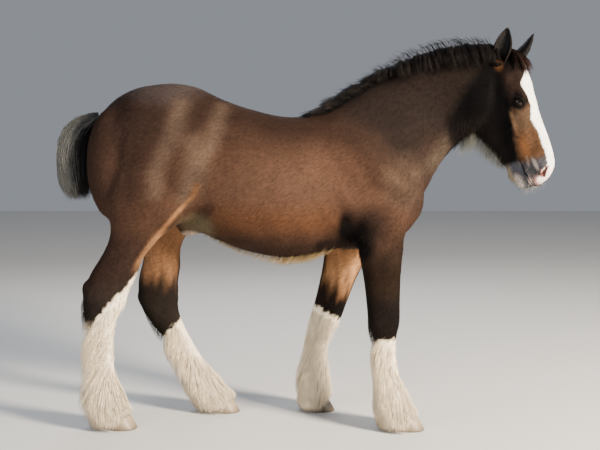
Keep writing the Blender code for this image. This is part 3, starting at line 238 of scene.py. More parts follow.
# Ears: root and tip in the head's frame, way the cup opens, width and depth along the length
EAR_RIGHT = (Vector((0.068, -0.056, -0.030)), Vector((-0.058, -0.060, 0.048)), Vector((0.1, -0.95, 0.30)))
EAR_LEFT = (Vector((0.062, 0.052, -0.020)), Vector((-0.028, 0.088, 0.098)), Vector((0.45, 0.55, 0.62)))
EAR = (
    (0.00, 0.016, 0.017),
    (0.15, 0.023, 0.023),
    (0.35, 0.031, 0.025),
    (0.52, 0.033, 0.020),
    (0.70, 0.027, 0.014),
    (0.86, 0.016, 0.009),
    (0.95, 0.007, 0.005),
    (1.00, 0.002, 0.002),
)

# Hoofs: tip of the toe on the ground, and the sizes all four share
TOES = {"fore_right": 0.485, "fore_left": 0.146, "hind_right": -0.634, "hind_left": -0.248}
HOOF_LENGTH = 0.112
HOOF_WIDTH = 0.106
HOOF_TOE = 0.078
HOOF_HEEL = 0.040
HOOF_LEAN = 0.045
GAP = 0.0003

# Outline of the long hair of each leg: height, front, rear, and half width
FRINGE = {
    "fore_right": (
        (0.400, 0.372, 0.272, 0.048),
        (0.300, 0.372, 0.272, 0.045),
        (0.200, 0.392, 0.275, 0.056),
        (0.120, 0.420, 0.282, 0.076),
        (0.060, 0.455, 0.285, 0.088),
        (0.015, 0.478, 0.300, 0.090),
    ),
    "fore_left": (
        (0.400, 0.165, 0.060, 0.046),
        (0.300, 0.145, 0.028, 0.045),
        (0.200, 0.118, -0.010, 0.056),
        (0.120, 0.122, -0.033, 0.074),
        (0.060, 0.138, -0.022, 0.084),
        (0.015, 0.146, 0.000, 0.086),
    ),
    "hind_right": (
        (0.470, -0.715, -0.850, 0.050),
        (0.350, -0.715, -0.852, 0.048),
        (0.200, -0.702, -0.862, 0.058),
        (0.120, -0.680, -0.871, 0.076),
        (0.060, -0.655, -0.871, 0.088),
        (0.015, -0.638, -0.820, 0.090),
    ),
    "hind_left": (
        (0.450, -0.520, -0.625, 0.048),
        (0.330, -0.460, -0.600, 0.048),
        (0.200, -0.380, -0.545, 0.058),
        (0.120, -0.320, -0.510, 0.076),
        (0.060, -0.270, -0.475, 0.086),
        (0.015, -0.246, -0.430, 0.088),
    ),
}

# Dock of the tail (x, z, half depth, half width) and outline of its hair (height, rear, front, half width)
DOCK = (
    (-0.760, 1.205, 0.030, 0.030),
    (-0.815, 1.205, 0.030, 0.030),
    (-0.862, 1.180, 0.028, 0.030),
    (-0.888, 1.130, 0.026, 0.028),
    (-0.893, 1.070, 0.024, 0.026),
    (-0.890, 1.010, 0.020, 0.022),
    (-0.886, 0.975, 0.010, 0.012),
)
TAIL = (
    (1.235, -0.860, -0.800, 0.030),
    (1.190, -0.924, -0.825, 0.045),
    (1.120, -0.955, -0.838, 0.058),
    (1.030, -0.970, -0.842, 0.066),
    (0.950, -0.955, -0.842, 0.062),
    (0.885, -0.920, -0.845, 0.040),
)
SHIFT = Vector((-0.001917006, 0.005816388, 0.0))
SOFTENING = 0.0024
RING = 28
STEPS = 4


def smooth_rows(rows, steps=STEPS):
    """The rows of a table with steps rows drawn on a smooth curve from each row to the next."""
    rows = np.array(rows, float)
    padded = np.vstack((2 * rows[0] - rows[1], rows, 2 * rows[-1] - rows[-2]))
    drawn = []
    for i in range(len(rows) - 1):
        p0, p1, p2, p3 = padded[i : i + 4]
        for t in np.arange(steps) / steps:
            drawn.append(
                0.5
                * (
                    2 * p1
                    + (p2 - p0) * t
                    + (2 * p0 - 5 * p1 + 4 * p2 - p3) * t**2
                    + (3 * p1 - p0 - 3 * p2 + p3) * t**3
                )
            )
    drawn.append(rows[-1])
    return np.array(drawn)


def ring(top, low, side, half_width, widest, upper, lower):
    """A rounded section from low to top: points of two half superellipses that meet where it is widest."""
    top, low, side = (np.array(v, float) for v in (top, low, side))
    centre = low + widest * (top - low)
    angle = np.arange(RING) * 2 * math.pi / RING
    c, s = np.cos(angle), np.sin(angle)
    power = 2 / np.where(s > 0, upper, lower)
    across = half_width * np.sign(c) * np.abs(c) ** power
    along = np.abs(s) ** power
    reach = np.where((s > 0)[:, None], top - centre, low - centre)
    return centre + np.outer(across, side) + along[:, None] * reach


def loft(name, rings):
    """A closed skin over a row of rings."""
    mesh = bmesh.new()
    loops = [[mesh.verts.new(p) for p in points] for points in rings]
    for a, b in zip(loops, loops[1:]):
        for i in range(RING):
            j = (i + 1) % RING
            mesh.faces.new((a[i], a[j], b[j], b[i]))
    mesh.faces.new(loops[0][::-1])
    mesh.faces.new(loops[-1])
    bmesh.ops.recalc_face_normals(mesh, faces=mesh.faces)
    data = bpy.data.meshes.new(name)
    mesh.to_mesh(data)
    mesh.free()
    made = bpy.data.objects.new(name, data)
    bpy.context.scene.collection.objects.link(made)
    return made


def muscle(centre, radii, tilt=(0, 0, 0)):
    """An egg-shaped swelling, turned by tilt degrees about x, y and z."""
    bpy.ops.mesh.primitive_uv_sphere_add(segments=24, ring_count=14, radius=1)
    made = bpy.context.object
    turn = Euler([math.radians(a) for a in tilt]).to_matrix().to_4x4()
    made.data.transform(Matrix.Translation(centre) @ turn @ Matrix.Diagonal((*radii, 1)))
    return made


def torso():
    """The trunk, lofted through its rings."""
    rings = []
    for x, top, wide, low, half, upper, lower in smooth_rows(TORSO):
        widest = (wide - low) / (top - low)
        rings.append(ring((x, 0, top), (x, 0, low), (0, 1, 0), half, widest, upper, lower))
    return loft("torso", rings)


def neck():
    """The neck, its rings turning towards the head."""
    rings = []
    rows = smooth_rows(NECK)
    for i, (x1, z1, x0, z0, y, half, widest, upper, lower) in enumerate(rows):
        turn = math.radians(NECK_TURN) * i / (len(rows) - 1)
        side = (math.sin(turn), math.cos(turn), 0)
        rings.append(ring((x1, y, z1), (x0, y, z0), side, half, widest, upper, lower))
    return loft("neck", rings)


def head_frame():
    """Carries the head's own frame into place."""
    turn = Euler((0, math.radians(HEAD_DROP), math.radians(HEAD_TURN)))
    return Matrix.Translation(POLL) @ turn.to_matrix().to_4x4()


def head():
    """The head, lofted in its own frame and carried into place."""
    rings = []
    for x, top, low, half, widest, upper, lower in smooth_rows(HEAD):
        rings.append(ring((x, 0, top), (x, 0, low), (0, 1, 0), half, widest, upper, lower))
    made = loft("head", rings)
    made.data.transform(head_frame())
    return made


def limb(name, joints, out, girths, side):
    """A leg on its bones: each section stands square to the way the bones run there."""
    line = np.array([(x, side * y, z) for (x, z), y in zip(joints, out)])
    line = np.vstack((line, 2 * line[-1] - line[-2]))
    rings = []
    for place, front, rear, half, square in smooth_rows(girths):
        i = min(int(place), len(line) - 2)
        centre = line[i] + (place - i) * (line[i + 1] - line[i])
        before = line[min(max(round(place) - 1, 0), len(line) - 1)]
        after = line[min(round(place) + 1, len(line) - 1)]
        bone = line[i + 1] - line[i]
        bend = 1 - min(1, 4 * abs(place - round(place)))
        across = after - before
        run = (1 - bend) * bone / np.linalg.norm(bone) + bend * across / np.linalg.norm(across)
        forward = np.array((-run[2], 0, run[0])) / math.hypot(run[0], run[2])
        widest = rear / (front + rear)
        rings.append(
            ring(centre + front * forward, centre - rear * forward, (0, 1, 0), half, widest, square, square)
        )
    return loft(name, rings)


def forms(points, table):
    """How far the forms of a table move each point along its normal. A form lies on both sides."""
    moved = np.zeros(len(points))
    for (x, y, z), radii, tilt, amount in table.values():
        turn = np.array(Euler((0, math.radians(tilt), 0)).to_matrix())
        near = np.zeros(len(points))
        for side in (-1, 1) if y else (1,):
            away = (points - (x, side * y, z)) @ turn / radii
            near = np.maximum(near, np.clip(1 - (away**2).sum(1), 0, 1) ** 2)
        moved += amount * near
    return moved


def read_points(data):
    """Points and normals of a mesh as arrays."""
    points = np.empty(len(data.vertices) * 3)
    data.vertices.foreach_get("co", points)
    normals = np.empty(len(data.vertices) * 3)
    data.vertices.foreach_get("normal", normals)
    return points.reshape(-1, 3), normals.reshape(-1, 3)


def finished(thing):
    """Swaps an object's mesh for what its modifiers make of it."""
    bpy.context.view_layer.update()
    data = bpy.data.meshes.new_from_object(thing.evaluated_get(bpy.context.evaluated_depsgraph_get()))
    thing.modifiers.clear()
    thing.data = data
    return thing


def weigh(thing, name, weights):
    """A vertex group whose weights are given point by point."""
    group = thing.vertex_groups.new(name=name)
    for level in np.unique(np.round(weights, 1)):
        members = np.flatnonzero(np.round(weights, 1) == level)
        group.add([int(i) for i in members], float(level), "REPLACE")


def toward_face(points):
    """0 on the body, rising to 1 on the head."""
    out_of_poll = np.array(head_frame().inverted().to_3x3())
    own = (points - np.array(POLL)) @ out_of_poll.T
    near = np.clip((own[:, 0] - 0.02 + 0.6 * own[:, 2]) / 0.10, 0, 1)
    return near * (own[:, 0] < 0.60) * (own[:, 2] > -0.30), own


def flesh(fine):
    """Every mass of the body, fused and softened into one skin."""
    pieces = [torso(), neck(), head()]
    pieces.append(limb("fore_right", FORE_RIGHT, FORE_OUT, FORE_GIRTHS, -1))
    pieces.append(limb("fore_left", FORE_LEFT, FORE_OUT, FORE_GIRTHS, 1))
    pieces.append(limb("hind_right", HIND_RIGHT, HIND_OUT, HIND_GIRTHS, -1))
    pieces.append(limb("hind_left", HIND_LEFT, HIND_OUT, HIND_GIRTHS, 1))
    for (x, y, z), radii in FILL.values():
        pieces += [muscle((x, y, z), radii), muscle((x, -y, z), radii)]
    for centre, radii in POINTS.values():
        pieces.append(muscle(centre, radii))
    bpy.ops.object.select_all(action="DESELECT")
    for piece in pieces:
        piece.select_set(True)
    bpy.context.view_layer.objects.active = pieces[0]
    bpy.ops.object.join()
    body = bpy.context.object
    body.name = "flesh"
    remesh = body.modifiers.new("fuse", "REMESH")
    remesh.mode = "VOXEL"
    remesh.voxel_size = fine
    finished(body)
    points, normals = read_points(body.data)
    face, own = toward_face(points)
    legs = np.clip((points[:, 2] - 0.60) / 0.20, 0, 1)
    weigh(body, "soft", np.clip(legs * (1 - face), 0.04, 1))
    soften = body.modifiers.new("soften", "SMOOTH")
    soften.factor = 0.5
    soften.iterations = round(SOFTENING / fine**2)
    soften.vertex_group = "soft"
    even = body.modifiers.new("even", "SMOOTH")
    even.factor = 0.5
    even.iterations = round(SOFTENING / fine**2 / 12)
    finished(body)
    points, normals = read_points(body.data)
    face, own = toward_face(points)
    moved = forms(points, BODY_FORMS) + forms(own, HEAD_FORMS)
    body.data.vertices.foreach_set("co", (points + moved[:, None] * normals).ravel())
    body.data.update()
    return body


def solid(cutter, body, operation, solver="MANIFOLD"):
    """One Boolean, applied; the cutter goes."""
    step = body.modifiers.new(operation.lower(), "BOOLEAN")
    step.operation = operation
    step.solver = solver
    step.object = cutter
    finished(body)
    bpy.data.objects.remove(cutter)
    return body


def tube(name, rings):
    """A closed skin over rings of any equal count of points."""
    mesh = bmesh.new()
    loops = [[mesh.verts.new(p) for p in points] for points in rings]
    count = len(loops[0])
    for a, b in zip(loops, loops[1:]):
        for i in range(count):
            j = (i + 1) % count
            mesh.faces.new((a[i], a[j], b[j], b[i]))
    mesh.faces.new(loops[0][::-1])
    mesh.faces.new(loops[-1])
    bmesh.ops.recalc_face_normals(mesh, faces=mesh.faces)
    bmesh.ops.triangulate(mesh, faces=mesh.faces)
    data = bpy.data.meshes.new(name)
    mesh.to_mesh(data)
    mesh.free()
    made = bpy.data.objects.new(name, data)
    bpy.context.scene.collection.objects.link(made)
    return made


def ball(centre, radius, name, segments=16, rings=10):
    """A round ball of a given radius."""
    bpy.ops.mesh.primitive_uv_sphere_add(segments=segments, ring_count=rings, radius=radius)
    made = bpy.context.object
    made.name = name
    made.data.transform(Matrix.Translation(centre))
    return made


def eye_axes(side):
    """Right-handed axes of an eye in the head's frame: along the opening, up, and out."""
    out = Vector((EYE_LOOK.x, side * EYE_LOOK.y, EYE_LOOK.z))
    up = (Vector((0, 0, 1)) - out * out.z).normalized()
    ahead = up.cross(out) * side
    lean = math.radians(EYE_SLANT)
    width = ahead * math.cos(lean) + up * math.sin(lean)
    height = up * math.cos(lean) - ahead * math.sin(lean)
    return width, height, out


def lens(side, wide, high, near, far, spread):
    """The almond of an eye's opening as a solid that widens outwards."""
    width, height, out = eye_axes(side)
    centre = Vector((EYE.x, side * EYE.y, EYE.z))
    rings = []
    for reach, grow in ((near, 1.0), (far, spread)):
        row = []
        for k in range(20):
            turn = k * math.tau / 20
            a = math.cos(turn)
            b = math.sin(turn) * (1 - 0.35 * abs(a) ** 1.5) * (1.0 if math.sin(turn) > 0 else 0.82)
            row.append(centre + out * reach + width * (a * wide / 2 * grow) + height * (b * high / 2 * grow))
        rings.append(row)
    return tube("lens", rings)


def carry(thing):
    """Moves a thing made in the head's frame onto the head."""
    thing.data.transform(head_frame())
    return thing


def nostril(side):
    """The hollow of a nostril: a bent egg, narrow behind."""
    rings = []
    for t in np.linspace(0, 1, 7):
        back = -0.004 * math.sin(math.pi * t)
        centre = Vector((0.480 + 0.032 * t, side * (0.041 + 0.001 * t), 0.038 - 0.022 * t + back))
        size = 0.0022 + 0.0078 * math.sin(math.pi * (0.12 + 0.78 * t)) ** 0.8
        turn = [k * math.tau / 10 for k in range(10)]
        across = Vector((0.55, 0, 0.80)) * size
        rings.append([centre + across * math.cos(a) + Vector((0, 0.016, 0)) * math.sin(a) for a in turn])
    return carry(tube("nostril", rings))


def mouth():
    """The line of the mouth: a thin blade bent round the muzzle."""
    line = ((0.428, 0.040), (0.447, 0.040), (0.475, 0.041), (0.500, 0.038), (0.518, 0.030), (0.528, 0.016))
    half = [(x, y, -0.053 + 0.20 * (x - 0.428)) for x, y in line]
    path = [Vector((x, -y, z)) for x, y, z in half] + [Vector((0.531, 0, half[-1][2]))]
    path += [Vector((x, y, z)) for x, y, z in reversed(half)]
    rings = []
    for i, p in enumerate(path):
        run = (path[min(i + 1, len(path) - 1)] - path[max(i - 1, 0)]).normalized()
        out = run.cross(Vector((0, 0, 1))).normalized()
        if out.x < 0 and abs(out.x) > 0.2:
            out = -out
        thick = 0.0016 if 0 < i < len(path) - 1 else 0.0006
        rise = Vector((0, 0, thick))
        rings.append([p - rise, p + out * 0.030 - rise, p + out * 0.030 + rise, p + rise])
    return carry(tube("mouth", rings))


def hoof_ring(toe, side_y, height, points=20):
    """Outline of a hoof's wall at a share of its height, on the slant between ground and coronet."""
    back = HOOF_LENGTH * (1 - height) + 0.092 * height
    front_x = toe - HOOF_LEAN * height
    half = (HOOF_WIDTH * (1 - height) + 0.092 * height) / 2
    row = []
    for k in range(points):
        a = k * math.tau / points
        c, s = math.cos(a), math.sin(a)
        x = front_x - back / 2 + back / 2 * math.copysign(abs(c) ** (1.0 if c > 0 else 0.55), c)
        y = side_y + half * math.copysign(abs(s) ** 0.9, s) * (1.0 - 0.10 * max(0.0, -c))
        slant = (x - (toe - HOOF_LEAN - 0.092)) / 0.092
        top = HOOF_HEEL + (HOOF_TOE - HOOF_HEEL) * min(max(slant, 0.0), 1.0)
        row.append((x, y, height * top))
    return row


def largest(body):
    """Drops every loose island but the largest."""
    mesh = bmesh.new()
    mesh.from_mesh(body.data)
    bmesh.ops.remove_doubles(mesh, verts=mesh.verts, dist=0.000001)
    todo = set(mesh.verts)
    islands = []
    while todo:
        reached = [todo.pop()]
        island = []
        while reached:
            vertex = reached.pop()
            island.append(vertex)
            for edge in vertex.link_edges:
                other = edge.other_vert(vertex)
                if other in todo:
                    todo.remove(other)
                    reached.append(other)
        islands.append(island)
    islands.sort(key=len)
    for island in islands[:-1]:
        bmesh.ops.delete(mesh, geom=island, context="VERTS")
    mesh.to_mesh(body.data)
    mesh.free()
    return body


def coronet_cutter(toe, side_y):
    """What lies under the slant where hair ends and horn begins."""
    slope = (HOOF_TOE - HOOF_HEEL) / 0.092
    x0, x1 = toe - 0.26, toe + 0.08
    start = toe - HOOF_LEAN - 0.092
    z0, z1 = (HOOF_HEEL + slope * (x - start) + GAP for x in (x0, x1))
    y0, y1 = side_y - 0.12, side_y + 0.12
    low = [(x0, y0, -0.4), (x1, y0, -0.4), (x1, y1, -0.4), (x0, y1, -0.4)]
    return tube("under", [low, [(x0, y0, z0), (x1, y0, z1), (x1, y1, z1), (x0, y1, z0)]])


def leg_line(name):
    """The bent line of a leg's joints."""
    joints = {"fore_right": FORE_RIGHT, "fore_left": FORE_LEFT}
    joints.update({"hind_right": HIND_RIGHT, "hind_left": HIND_LEFT})
    out = FORE_OUT if name.startswith("fore") else HIND_OUT
    side = -1 if name.endswith("right") else 1
    return sorted((z, x, side * y) for (x, z), y in zip(joints[name], out))


# How far the skin lies under the tips of the short coat
COAT_DEPTH = 0.0024
# Hair keeps inside the box of the solids, less a hair's breadth
BOX_LOW = np.array(START[0]) - np.array(SHIFT) + 0.0003
BOX_HIGH = np.array(START[1]) - np.array(SHIFT) - 0.0003
# Slant of the coat's lie along the trunk, in radians about y
COAT_SLANT = 0.588
rng = np.random.default_rng(11)


def step(low, high, value):
    """0 under low, 1 over high, smooth between; low may be the greater."""
    t = np.clip((value - low) / (high - low), 0, 1)
    return t * t * (3 - 2 * t)


def unit(rows):
    """Rows brought to a length of one."""
    return rows / np.maximum(np.linalg.norm(rows, axis=1, keepdims=True), 1e-9)


def mix(a, b, share):
    """Blends two sets of rows by a share for each."""
    return a + (b - a) * share[:, None]


def ripple(points, size, seed=0.0):
    """Slow uneven waves between -1 and 1, from a few crossed sines."""
    x, y, z = (points / size + seed).T
    wave = np.sin(x * 1.7 + 1.3 * np.sin(z * 1.1 + seed)) + np.sin(z * 2.3 + 1.7 * np.sin(y * 1.9 + x * 0.7))
    return (wave + np.sin(y * 2.9 + 1.1 * np.sin(x * 2.1 - z))) / 3


def in_head(points):
    """Points in the head's own frame."""
    return (points - np.array(POLL)) @ np.array(head_frame().to_3x3())


def past_poll(own):
    """How far points of the head's frame lie ahead of the slanting plane where head and neck meet."""
    return own[:, 0] * 0.75 + (own[:, 2] + 0.045) * 0.66


LEGS = {"fore_right": (FORE_RIGHT, FORE_OUT, -1), "fore_left": (FORE_LEFT, FORE_OUT, 1)}
LEGS.update({"hind_right": (HIND_RIGHT, HIND_OUT, -1), "hind_left": (HIND_LEFT, HIND_OUT, 1)})
# Upper edge of the white on each leg: height at a place along x, and the slope there
WHITE_EDGE = {"fore_right": (0.352, 0.36, 0.0), "fore_left": (0.415, 0.11, -0.60)}
WHITE_EDGE.update({"hind_right": (0.490, -0.730, 1.15), "hind_left": (0.350, -0.528, 1.00)})
# Half width of the blaze at places down the face
BLAZE = (
    (0.10, 0.012), (0.125, 0.036), (0.150, 0.060), (0.167, 0.062), (0.196, 0.055), (0.216, 0.050),
    (0.247, 0.045), (0.269, 0.050), (0.293, 0.053), (0.315, 0.046), (0.348, 0.038), (0.378, 0.035),
    (0.416, 0.031), (0.467, 0.032), (0.490, 0.044), (0.510, 0.060), (0.560, 0.070),
)
# Where the tan under the eye ends above the black cheek, in the head's frame: height at places down the face
CHEEK_EDGE = (
    (0.20, -0.016), (0.24, -0.024), (0.31, -0.030), (0.34, -0.042), (0.38, -0.046), (0.43, -0.052),
    (0.46, -0.066),
)
SHADES = {
    "brown": (0.047, 0.0235, 0.0145),
    "dark brown": (0.0180, 0.0100, 0.0075),
    "neck brown": (0.0155, 0.0108, 0.0092),
    "black": (0.0022, 0.0018, 0.0020),
    "ginger": (0.190, 0.080, 0.030),
    "tan": (0.070, 0.035, 0.018),
    "cream": (0.240, 0.190, 0.125),
    "white": (0.930, 0.800, 0.600),
    "pure white": (0.900, 0.860, 0.810),
    "pink": (0.560, 0.270, 0.210),
    "slate": (0.038, 0.038, 0.045),
}
SHADE = {name: np.array(value) for name, value in SHADES.items()}


def leg_place(points, name):
    """How near each point is to a leg, and its way round the leg's line (0 at the front)."""
    joints, out, side = LEGS[name]
    line = sorted((z, x, side * y) for (x, z), y in zip(joints, out))
    zs = [row[0] for row in line]
    x = np.interp(points[:, 2], zs, [row[1] for row in line])
    y = np.interp(points[:, 2], zs, [row[2] for row in line])
    away = np.stack((points[:, 0] - x, points[:, 1] - y), 1)
    return np.linalg.norm(away, axis=1), np.arctan2(away[:, 1], away[:, 0])


def nearest_leg(points):
    """Index of the nearest leg, distance from its line and way round it."""
    found = [leg_place(points, name) for name in LEGS]
    reach = np.stack([f[0] for f in found], 1)
    which = reach.argmin(1)
    rows = np.arange(len(points))
    return which, reach[rows, which], np.stack([f[1] for f in found], 1)[rows, which]


def near_line(points, line, width):
    """1 on a bent line drawn in side view, fading to 0 a width away."""
    reach = np.full(len(points), 9.0)
    flat = points[:, [0, 2]]
    for start, end in zip(line, line[1:]):
        start, run = np.array(start), np.array(end) - np.array(start)
        share = np.clip((flat - start) @ run / (run @ run), 0, 1)
        reach = np.minimum(reach, np.linalg.norm(flat - start - share[:, None] * run, axis=1))
    return step(width, 0.0, reach)


# Lines on the side of the body, (x, z): the thigh's front edge, where a ginger line is laid with painted
# light along it, and the streaks of painted sheen over the quarter
FOLD_LINE = (
    (-0.388, 0.945), (-0.403, 0.910), (-0.438, 0.876), (-0.468, 0.842), (-0.528, 0.774), (-0.593, 0.690),
)
PAINTED_SHEEN_LINES = (
    ((-0.446, 1.250), (-0.475, 1.128), (-0.509, 1.075), (-0.537, 0.993), (-0.537, 0.930)),
    ((-0.404, 1.110), (-0.410, 1.012), (-0.432, 0.905)),
    ((-0.306, 1.250), (-0.340, 1.128), (-0.367, 1.038), (-0.390, 0.925)),
)
# Lines of painted shadow, (x, z): behind the elbow, and under it
ELBOW_SHADOW_LINE = ((0.166, 0.880), (0.170, 0.820), (0.172, 0.770), (0.205, 0.725), (0.240, 0.705))
UNDER_ELBOW_SHADOW = ((0.205, 0.735), (0.150, 0.712), (0.085, 0.700))
# Where the painted shadow of the head behind the jaw ends on the neck: place along x at heights
JAW_EDGE = (
    (1.060, 0.590), (1.113, 0.579), (1.182, 0.581), (1.242, 0.597), (1.289, 0.631), (1.336, 0.682),
    (1.380, 0.730),
)


def coat_colour(points, normals):
    """The coat's colour at points of the stance: bay body, black points, white stockings and face, with
    painted sheen, highlights and shadows laid over them.
    """
    x, y, z = points.T
    colour = np.tile(SHADE["brown"], (len(points), 1))
    wide = ripple(points, 0.16)
    fine = ripple(points, 0.035, 3.0)
    mottle = ripple(points, 0.060, 8.0)
    colour = mix(colour, SHADE["dark brown"], 0.90 * step(1.02, 1.20, z + 0.03 * wide))
    haunch = step(-0.34, -0.62, x + 0.05 * wide) * step(0.74, 0.98, z)
    colour = mix(colour, SHADE["dark brown"], 0.72 * haunch)
    # Painted sheen: the top of the croup made lighter and greyer
    croup = step(1, 0.2, np.hypot((x + 0.520) / 0.22, (z - 1.330) / 0.11))
    colour = mix(colour, np.array((0.056, 0.042, 0.040)), 0.75 * croup)
    # Warmer brown over the middle of the barrel: partly the coat's own colour, partly a painted highlight
    warm = step(1, 0.1, np.hypot((x + 0.06) / 0.36, (z - 0.93) / 0.24))
    colour = mix(colour, np.array((0.072, 0.038, 0.0245)), 0.80 * warm)
    low = step(0.70, 0.80, z) * step(0.92, 0.80, z) * step(-0.42, -0.3, x) * step(0.20, 0.10, x)
    colour = mix(colour, np.array((0.072, 0.030, 0.0130)), 0.7 * low)
    neck_part = step(0.16, 0.44, x + 0.8 * (z - 1.05) + 0.03 * wide)
    colour = mix(colour, SHADE["neck brown"], 0.92 * neck_part)
    breast = step(0.10, -0.10, (z - 1.06) - 0.9 * (x - 0.46)) * step(0.30, 0.46, x) * step(0.80, 0.90, z)
    colour = mix(colour, SHADE["dark brown"] * 1.5, 0.9 * breast)
    throat = step(0.09, 0.02, np.abs(x - 0.60 + 0.7 * (1.10 - z)) - 0.02)
    throat = throat * step(0.95, 1.05, z) * step(1.25, 1.15, z)
    colour = mix(colour, np.array((0.050, 0.036, 0.026)), 0.8 * throat)
    # Painted shadow of the head on the neck: black behind the jaw
    jaw_edge = np.interp(z, [row[0] for row in JAW_EDGE], [row[1] for row in JAW_EDGE])
    painted_jaw_shadow = step(-0.012, 0.034, x - jaw_edge + 0.01 * fine) * step(1.02, 1.08, z)
    colour = mix(colour, SHADE["black"] * 1.3, 0.96 * painted_jaw_shadow)
    colour = mix(colour, SHADE["dark brown"], 0.75 * step(0.84, 0.66, z + 0.02 * fine))
    # Painted shade: the triceps darker brown
    triceps = step(1, 0.2, np.hypot((x - 0.270) / 0.120, (z - 0.800) / 0.110))
    colour = mix(colour, SHADE["dark brown"] * 0.8, 0.85 * triceps)
    arm = step(0.02, 0.12, x) * step(0.84, 0.60, z + 0.03 * wide)
    colour = mix(colour, np.array((0.0100, 0.0058, 0.0036)) * (1.0 + 0.45 * mottle[:, None]), 0.94 * arm)
    colour = mix(colour, SHADE["black"] * 1.6, 0.7 * arm * step(0.60, 0.45, z + 0.03 * wide))
    # Painted shadow on the outer sides: black round the elbow, behind it and under it
    outer = step(0.05, 0.12, np.abs(y))
    behind = near_line(points, ELBOW_SHADOW_LINE, 0.064)
    behind = behind * step(0.132, 0.170, x + 0.10 * (0.80 - z)) * step(0.900, 0.780, z)
    under = near_line(points, UNDER_ELBOW_SHADOW, 0.045)
    elbow_shadow = step(1, 0.2, np.hypot((x - 0.235) / 0.080, (z - 0.765) / 0.075))
    colour = mix(colour, SHADE["black"] * 0.8, 0.75 * elbow_shadow * outer)
    colour = mix(colour, SHADE["black"] * 0.7, np.clip(1.5 * np.maximum(behind, under), 0, 1) * 0.96 * outer)
    shank = step(-0.10, -0.20, x) * step(0.66, 0.46, z + 0.04 * wide)
    gaskin = step(-0.10, -0.20, x) * step(0.80, 0.62, z + 0.03 * wide)
    colour = mix(colour, SHADE["dark brown"] * 1.2, 0.8 * gaskin)
    colour = mix(colour, np.array((0.0120, 0.0095, 0.0080)) * (1.0 + 0.30 * mottle[:, None]), 0.93 * shank)
    # Tawny and ginger on the inner sides of the legs: partly the hair's own lighter colour, partly painted
    # sunlight
    inward = step(0.25, 0.80, -normals[:, 1] * np.sign(y))
    hind = step(-0.20, -0.35, x)
    streaky = ripple(points * (1.0, 1.0, 0.25), 0.012, 2.0)
    broken = z + 0.050 * wide + 0.028 * streaky
    inner_thigh = inward * hind * step(0.50, 0.66, broken) * step(0.88, 0.76, z)
    colour = mix(colour, np.array((0.240, 0.120, 0.058)), 0.85 * inner_thigh)
    tawny = np.array((0.330, 0.165, 0.075)) * (1.0 + 0.25 * streaky[:, None])
    inner_arm = inward * step(0.0, 0.06, x) * step(0.50, 0.62, broken + 0.35 * (x - 0.15))
    colour = mix(colour, tawny, 0.88 * inner_arm * step(0.76, 0.68, z))
    on_side = step(0.02, 0.08, np.abs(y))
    # Painted sheen: lighter streaks along the lines over the quarter
    drifted = points + 0.012 * np.stack((wide, 0 * x, fine), 1)
    for line in PAINTED_SHEEN_LINES:
        painted_sheen = near_line(drifted, line, 0.062) * on_side
        colour = mix(colour, np.array((0.088, 0.060, 0.043)), (0.45 + 0.06 * fine) * painted_sheen**1.2)
    # Painted sheen: the point of the shoulder lighter
    shoulder = step(1, 0.1, np.hypot((x - 0.395) / 0.13, (z - 0.960) / 0.15)) * step(0.05, 0.12, np.abs(y))
    colour = mix(colour, np.array((0.078, 0.050, 0.034)), (0.45 + 0.25 * fine) * shoulder)
    # The thigh's front edge: a thin ginger line, partly the hair's own colour, partly painted light along the
    # lit edge; at its top a painted glow of light
    fold = near_line(points, FOLD_LINE, 0.0135) * on_side * step(0.68, 0.76, z) * step(0.96, 0.90, z)
    colour = mix(colour, np.array((0.260, 0.125, 0.055)), 0.62 * fold)
    painted_glow = near_line(points, FOLD_LINE[:2], 0.030) * on_side
    colour = mix(colour, SHADE["ginger"] * 0.55, 0.55 * painted_glow)
    # Painted light: the forward-facing sides of the gaskins, turned towards the key light, lighter tan
    ahead = step(0.35, 0.75, normals[:, 0]) * hind * step(0.60, 0.66, z) * step(0.80, 0.74, z)
    colour = mix(colour, np.array((0.260, 0.130, 0.062)), 0.65 * ahead)
    # Painted shade: the groin darker, greenish grey
    groin_shade = step(1, 0.40, np.hypot((x + 0.400) / 0.095, (z - 0.780) / 0.080)) * step(0.20, 0.15, np.abs(y))
    colour = mix(colour, np.array((0.085, 0.066, 0.038)), 0.85 * groin_shade)
    sheath = step(1, 0.5, np.hypot((x + 0.435) / 0.060, (z - 0.735) / 0.035)) * step(0.06, 0.03, np.abs(y))
    colour = mix(colour, np.array((0.420, 0.320, 0.260)), 0.85 * sheath)
    tip = step(1, 0.4, np.hypot((x + 0.440) / 0.045, (z - 0.722) / 0.014)) * step(0.06, 0.03, np.abs(y))
    colour = mix(colour, SHADE["slate"] * 0.3, 0.90 * tip)
    colour = colour * (1 + 0.10 * mottle + 0.06 * fine)[:, None]
    edge = 0.012 * ripple(points, 0.011, 5.0) + 0.006 * ripple(points, 0.0045, 9.0)
    which, reach, _ = nearest_leg(points)
    for i, name in enumerate(LEGS):
        white = below_edge(points, name, edge) * (which == i) * (reach < 0.16) * (z < 0.64)
        colour = mix(colour, SHADE["white"] * (0.97 + 0.03 * fine[:, None]), white)
        streaked = 0.5 + 0.5 * ripple(points * (1.0, 1.0, 0.2), 0.009, 7.0)
        colour = mix(colour, np.array((0.700, 0.560, 0.380)), 0.25 * white * streaked)
        colour = mix(colour, np.array((0.620, 0.520, 0.400)), 0.45 * white * step(0.10, 0.02, z))
    own = in_head(points)
    near = step(0.60, 0.58, own[:, 0]) * step(-0.30, -0.26, own[:, 2])
    near = near * step(-0.02, 0.04, past_poll(own))
    face = head_colour(own, edge, fine)
    return colour + (face - colour) * near[:, None]


def below_edge(points, name, edge):
    """1 in the white of a leg, 0 above it."""
    height, place, slope = WHITE_EDGE[name]
    return step(0.008, -0.008, points[:, 2] - height - slope * (points[:, 0] - place) - edge)


